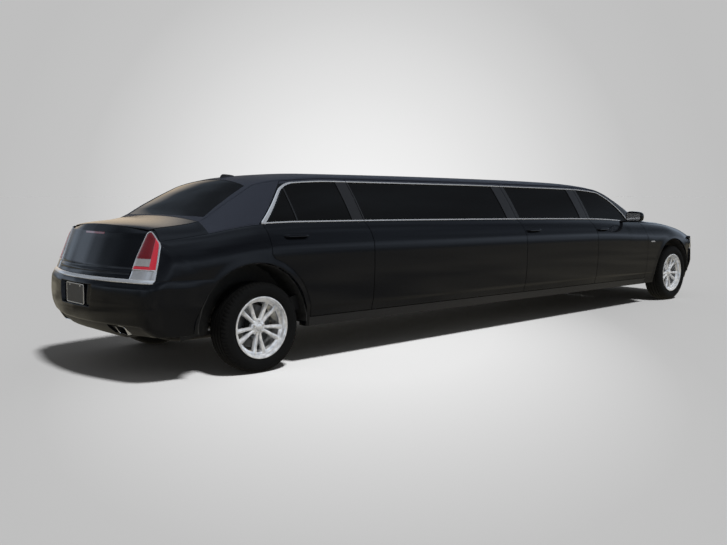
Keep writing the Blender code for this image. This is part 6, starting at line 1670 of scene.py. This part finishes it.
def startWorld():
    world = bpy.data.worlds.new("surroundings")
    bpy.context.scene.world = world
    world.use_nodes = True
    tree = world.node_tree
    tree.nodes.clear()
    place = addNode(tree, "TexCoord").outputs["Generated"]
    paths = addNode(tree, "LightPath")
    split = addNode(tree, "SeparateXYZ", {"Vector": place})
    sky = colourRamp(tree, mapped(tree, split.outputs["Z"], -1.0, 1.0), skyStops)
    sky = mottled(tree, sky, place, 2.4, 0.45, 1.45)
    glow = mapped(tree, alongDirection(tree, place, (0.405, 0.908, 0.105)), 0.955, 0.995)
    warm = addNode(tree, "Mix", {"B": (0.82, 0.68, 0.52, 1), "Factor": glow, "A": sky}, data_type="RGBA")
    last = addNode(tree, "Background", {"Color": (skyLight, skyLight, skyLight, 1)}).outputs["Background"]
    rays = {"Is Glossy Ray": warm.outputs["Result"], "Is Camera Ray": backdropColour(tree, place, 1.0)}
    for ray, colour in rays.items():
        shader = addNode(tree, "Background", {"Color": colour}).outputs["Background"]
        last = addNode(tree, "MixShader", {"Fac": paths.outputs[ray], 1: last, 2: shader}).outputs["Shader"]
    addNode(tree, "OutputWorld", {"Surface": last})


def startFloor():
    mesh = bpy.data.meshes.new("floor")
    reach = 400.0
    mesh.from_pydata([(a * reach, b * reach, 0) for a, b in box(1, -1, 1)], [], [(0, 1, 2, 3)])
    floor = bpy.data.objects.new("floor", mesh)
    bpy.context.scene.collection.objects.link(floor)
    made = bpy.data.materials.new("floor")
    made.use_nodes = True
    tree = made.node_tree
    tree.nodes.clear()
    place = addNode(tree, "TexCoord").outputs["Object"]
    away = addNode(tree, "VectorMath", {0: place, 1: cameraPlace}, operation="SUBTRACT").outputs["Vector"]
    unit = addNode(tree, "VectorMath", {0: away}, operation="NORMALIZE").outputs["Vector"]
    # Painted pool of light: the floor's colour is bright in an oval under the car; far off, it takes the backdrop's
    # own colour, painted brightest along the line of sight.
    oval = addNode(tree, "Mapping", vector_type="TEXTURE", inputs={
        "Location": (-0.69, 0.63, 0), "Rotation": (0, 0, 0.828), "Scale": (9.5, 4.2, 1), "Vector": place})
    long = addNode(tree, "VectorMath", {0: oval.outputs["Vector"]}, operation="LENGTH").outputs["Value"]
    far = addNode(tree, "VectorMath", {0: away}, operation="LENGTH").outputs["Value"]
    blend = addNode(tree, "Mix", data_type="RGBA", inputs={
        "Factor": mapped(tree, far, 13.0, 30.0), "B": backdropColour(tree, unit, 1 / openLight),
        "A": colourRamp(tree, long, [(mark, (grey / openLight,) * 3) for mark, grey in floorPaintedPoolStops])})
    matt = addNode(tree, "BsdfDiffuse", {"Color": blend.outputs["Result"]})
    # In reflections the floor glows a mottled dull brown, the colour that the photograph's lower half shows: a
    # painted reflection of the ground, not its lit colour.
    ground = addNode(tree, "RGB")
    ground.outputs["Color"].default_value = (0.27, 0.25, 0.20, 1)
    reflectedGroundGlow = addNode(tree, "Emission", {"Color": mottled(tree, ground.outputs["Color"], place, 0.45, 0.55, 1.35)})
    glossy = addNode(tree, "LightPath").outputs["Is Glossy Ray"]
    mix = addNode(tree, "MixShader", {"Fac": glossy, 1: matt.outputs["BSDF"], 2: reflectedGroundGlow.outputs["Emission"]})
    addNode(tree, "OutputMaterial", {"Surface": mix.outputs["Shader"]})
    mesh.materials.append(made)


def startLamp():
    data = bpy.data.lights.new("overhead", "SUN")
    data.energy = lampPower
    data.angle = math.radians(9)
    lamp = bpy.data.objects.new("overhead", data)
    lamp.location = (0, -3, 6)
    lamp.rotation_euler = (lampTilt, 0, 0)
    lamp.visible_glossy = False
    bpy.context.scene.collection.objects.link(lamp)


def startCamera():
    data = bpy.data.cameras.new("camera")
    data.lens, data.sensor_width = 40.33, 36.0
    data.clip_start, data.clip_end = 0.05, 1000
    camera = bpy.data.objects.new("camera", data)
    camera.location = cameraPlace
    camera.rotation_euler = (math.pi / 2 - 0.0959, 0, -0.7435)
    bpy.context.scene.collection.objects.link(camera)
    bpy.context.scene.camera = camera


startWorld()
startFloor()
startCamera()
startLamp()
bpy.context.scene.view_settings.view_transform = "Standard"
print("stage made")
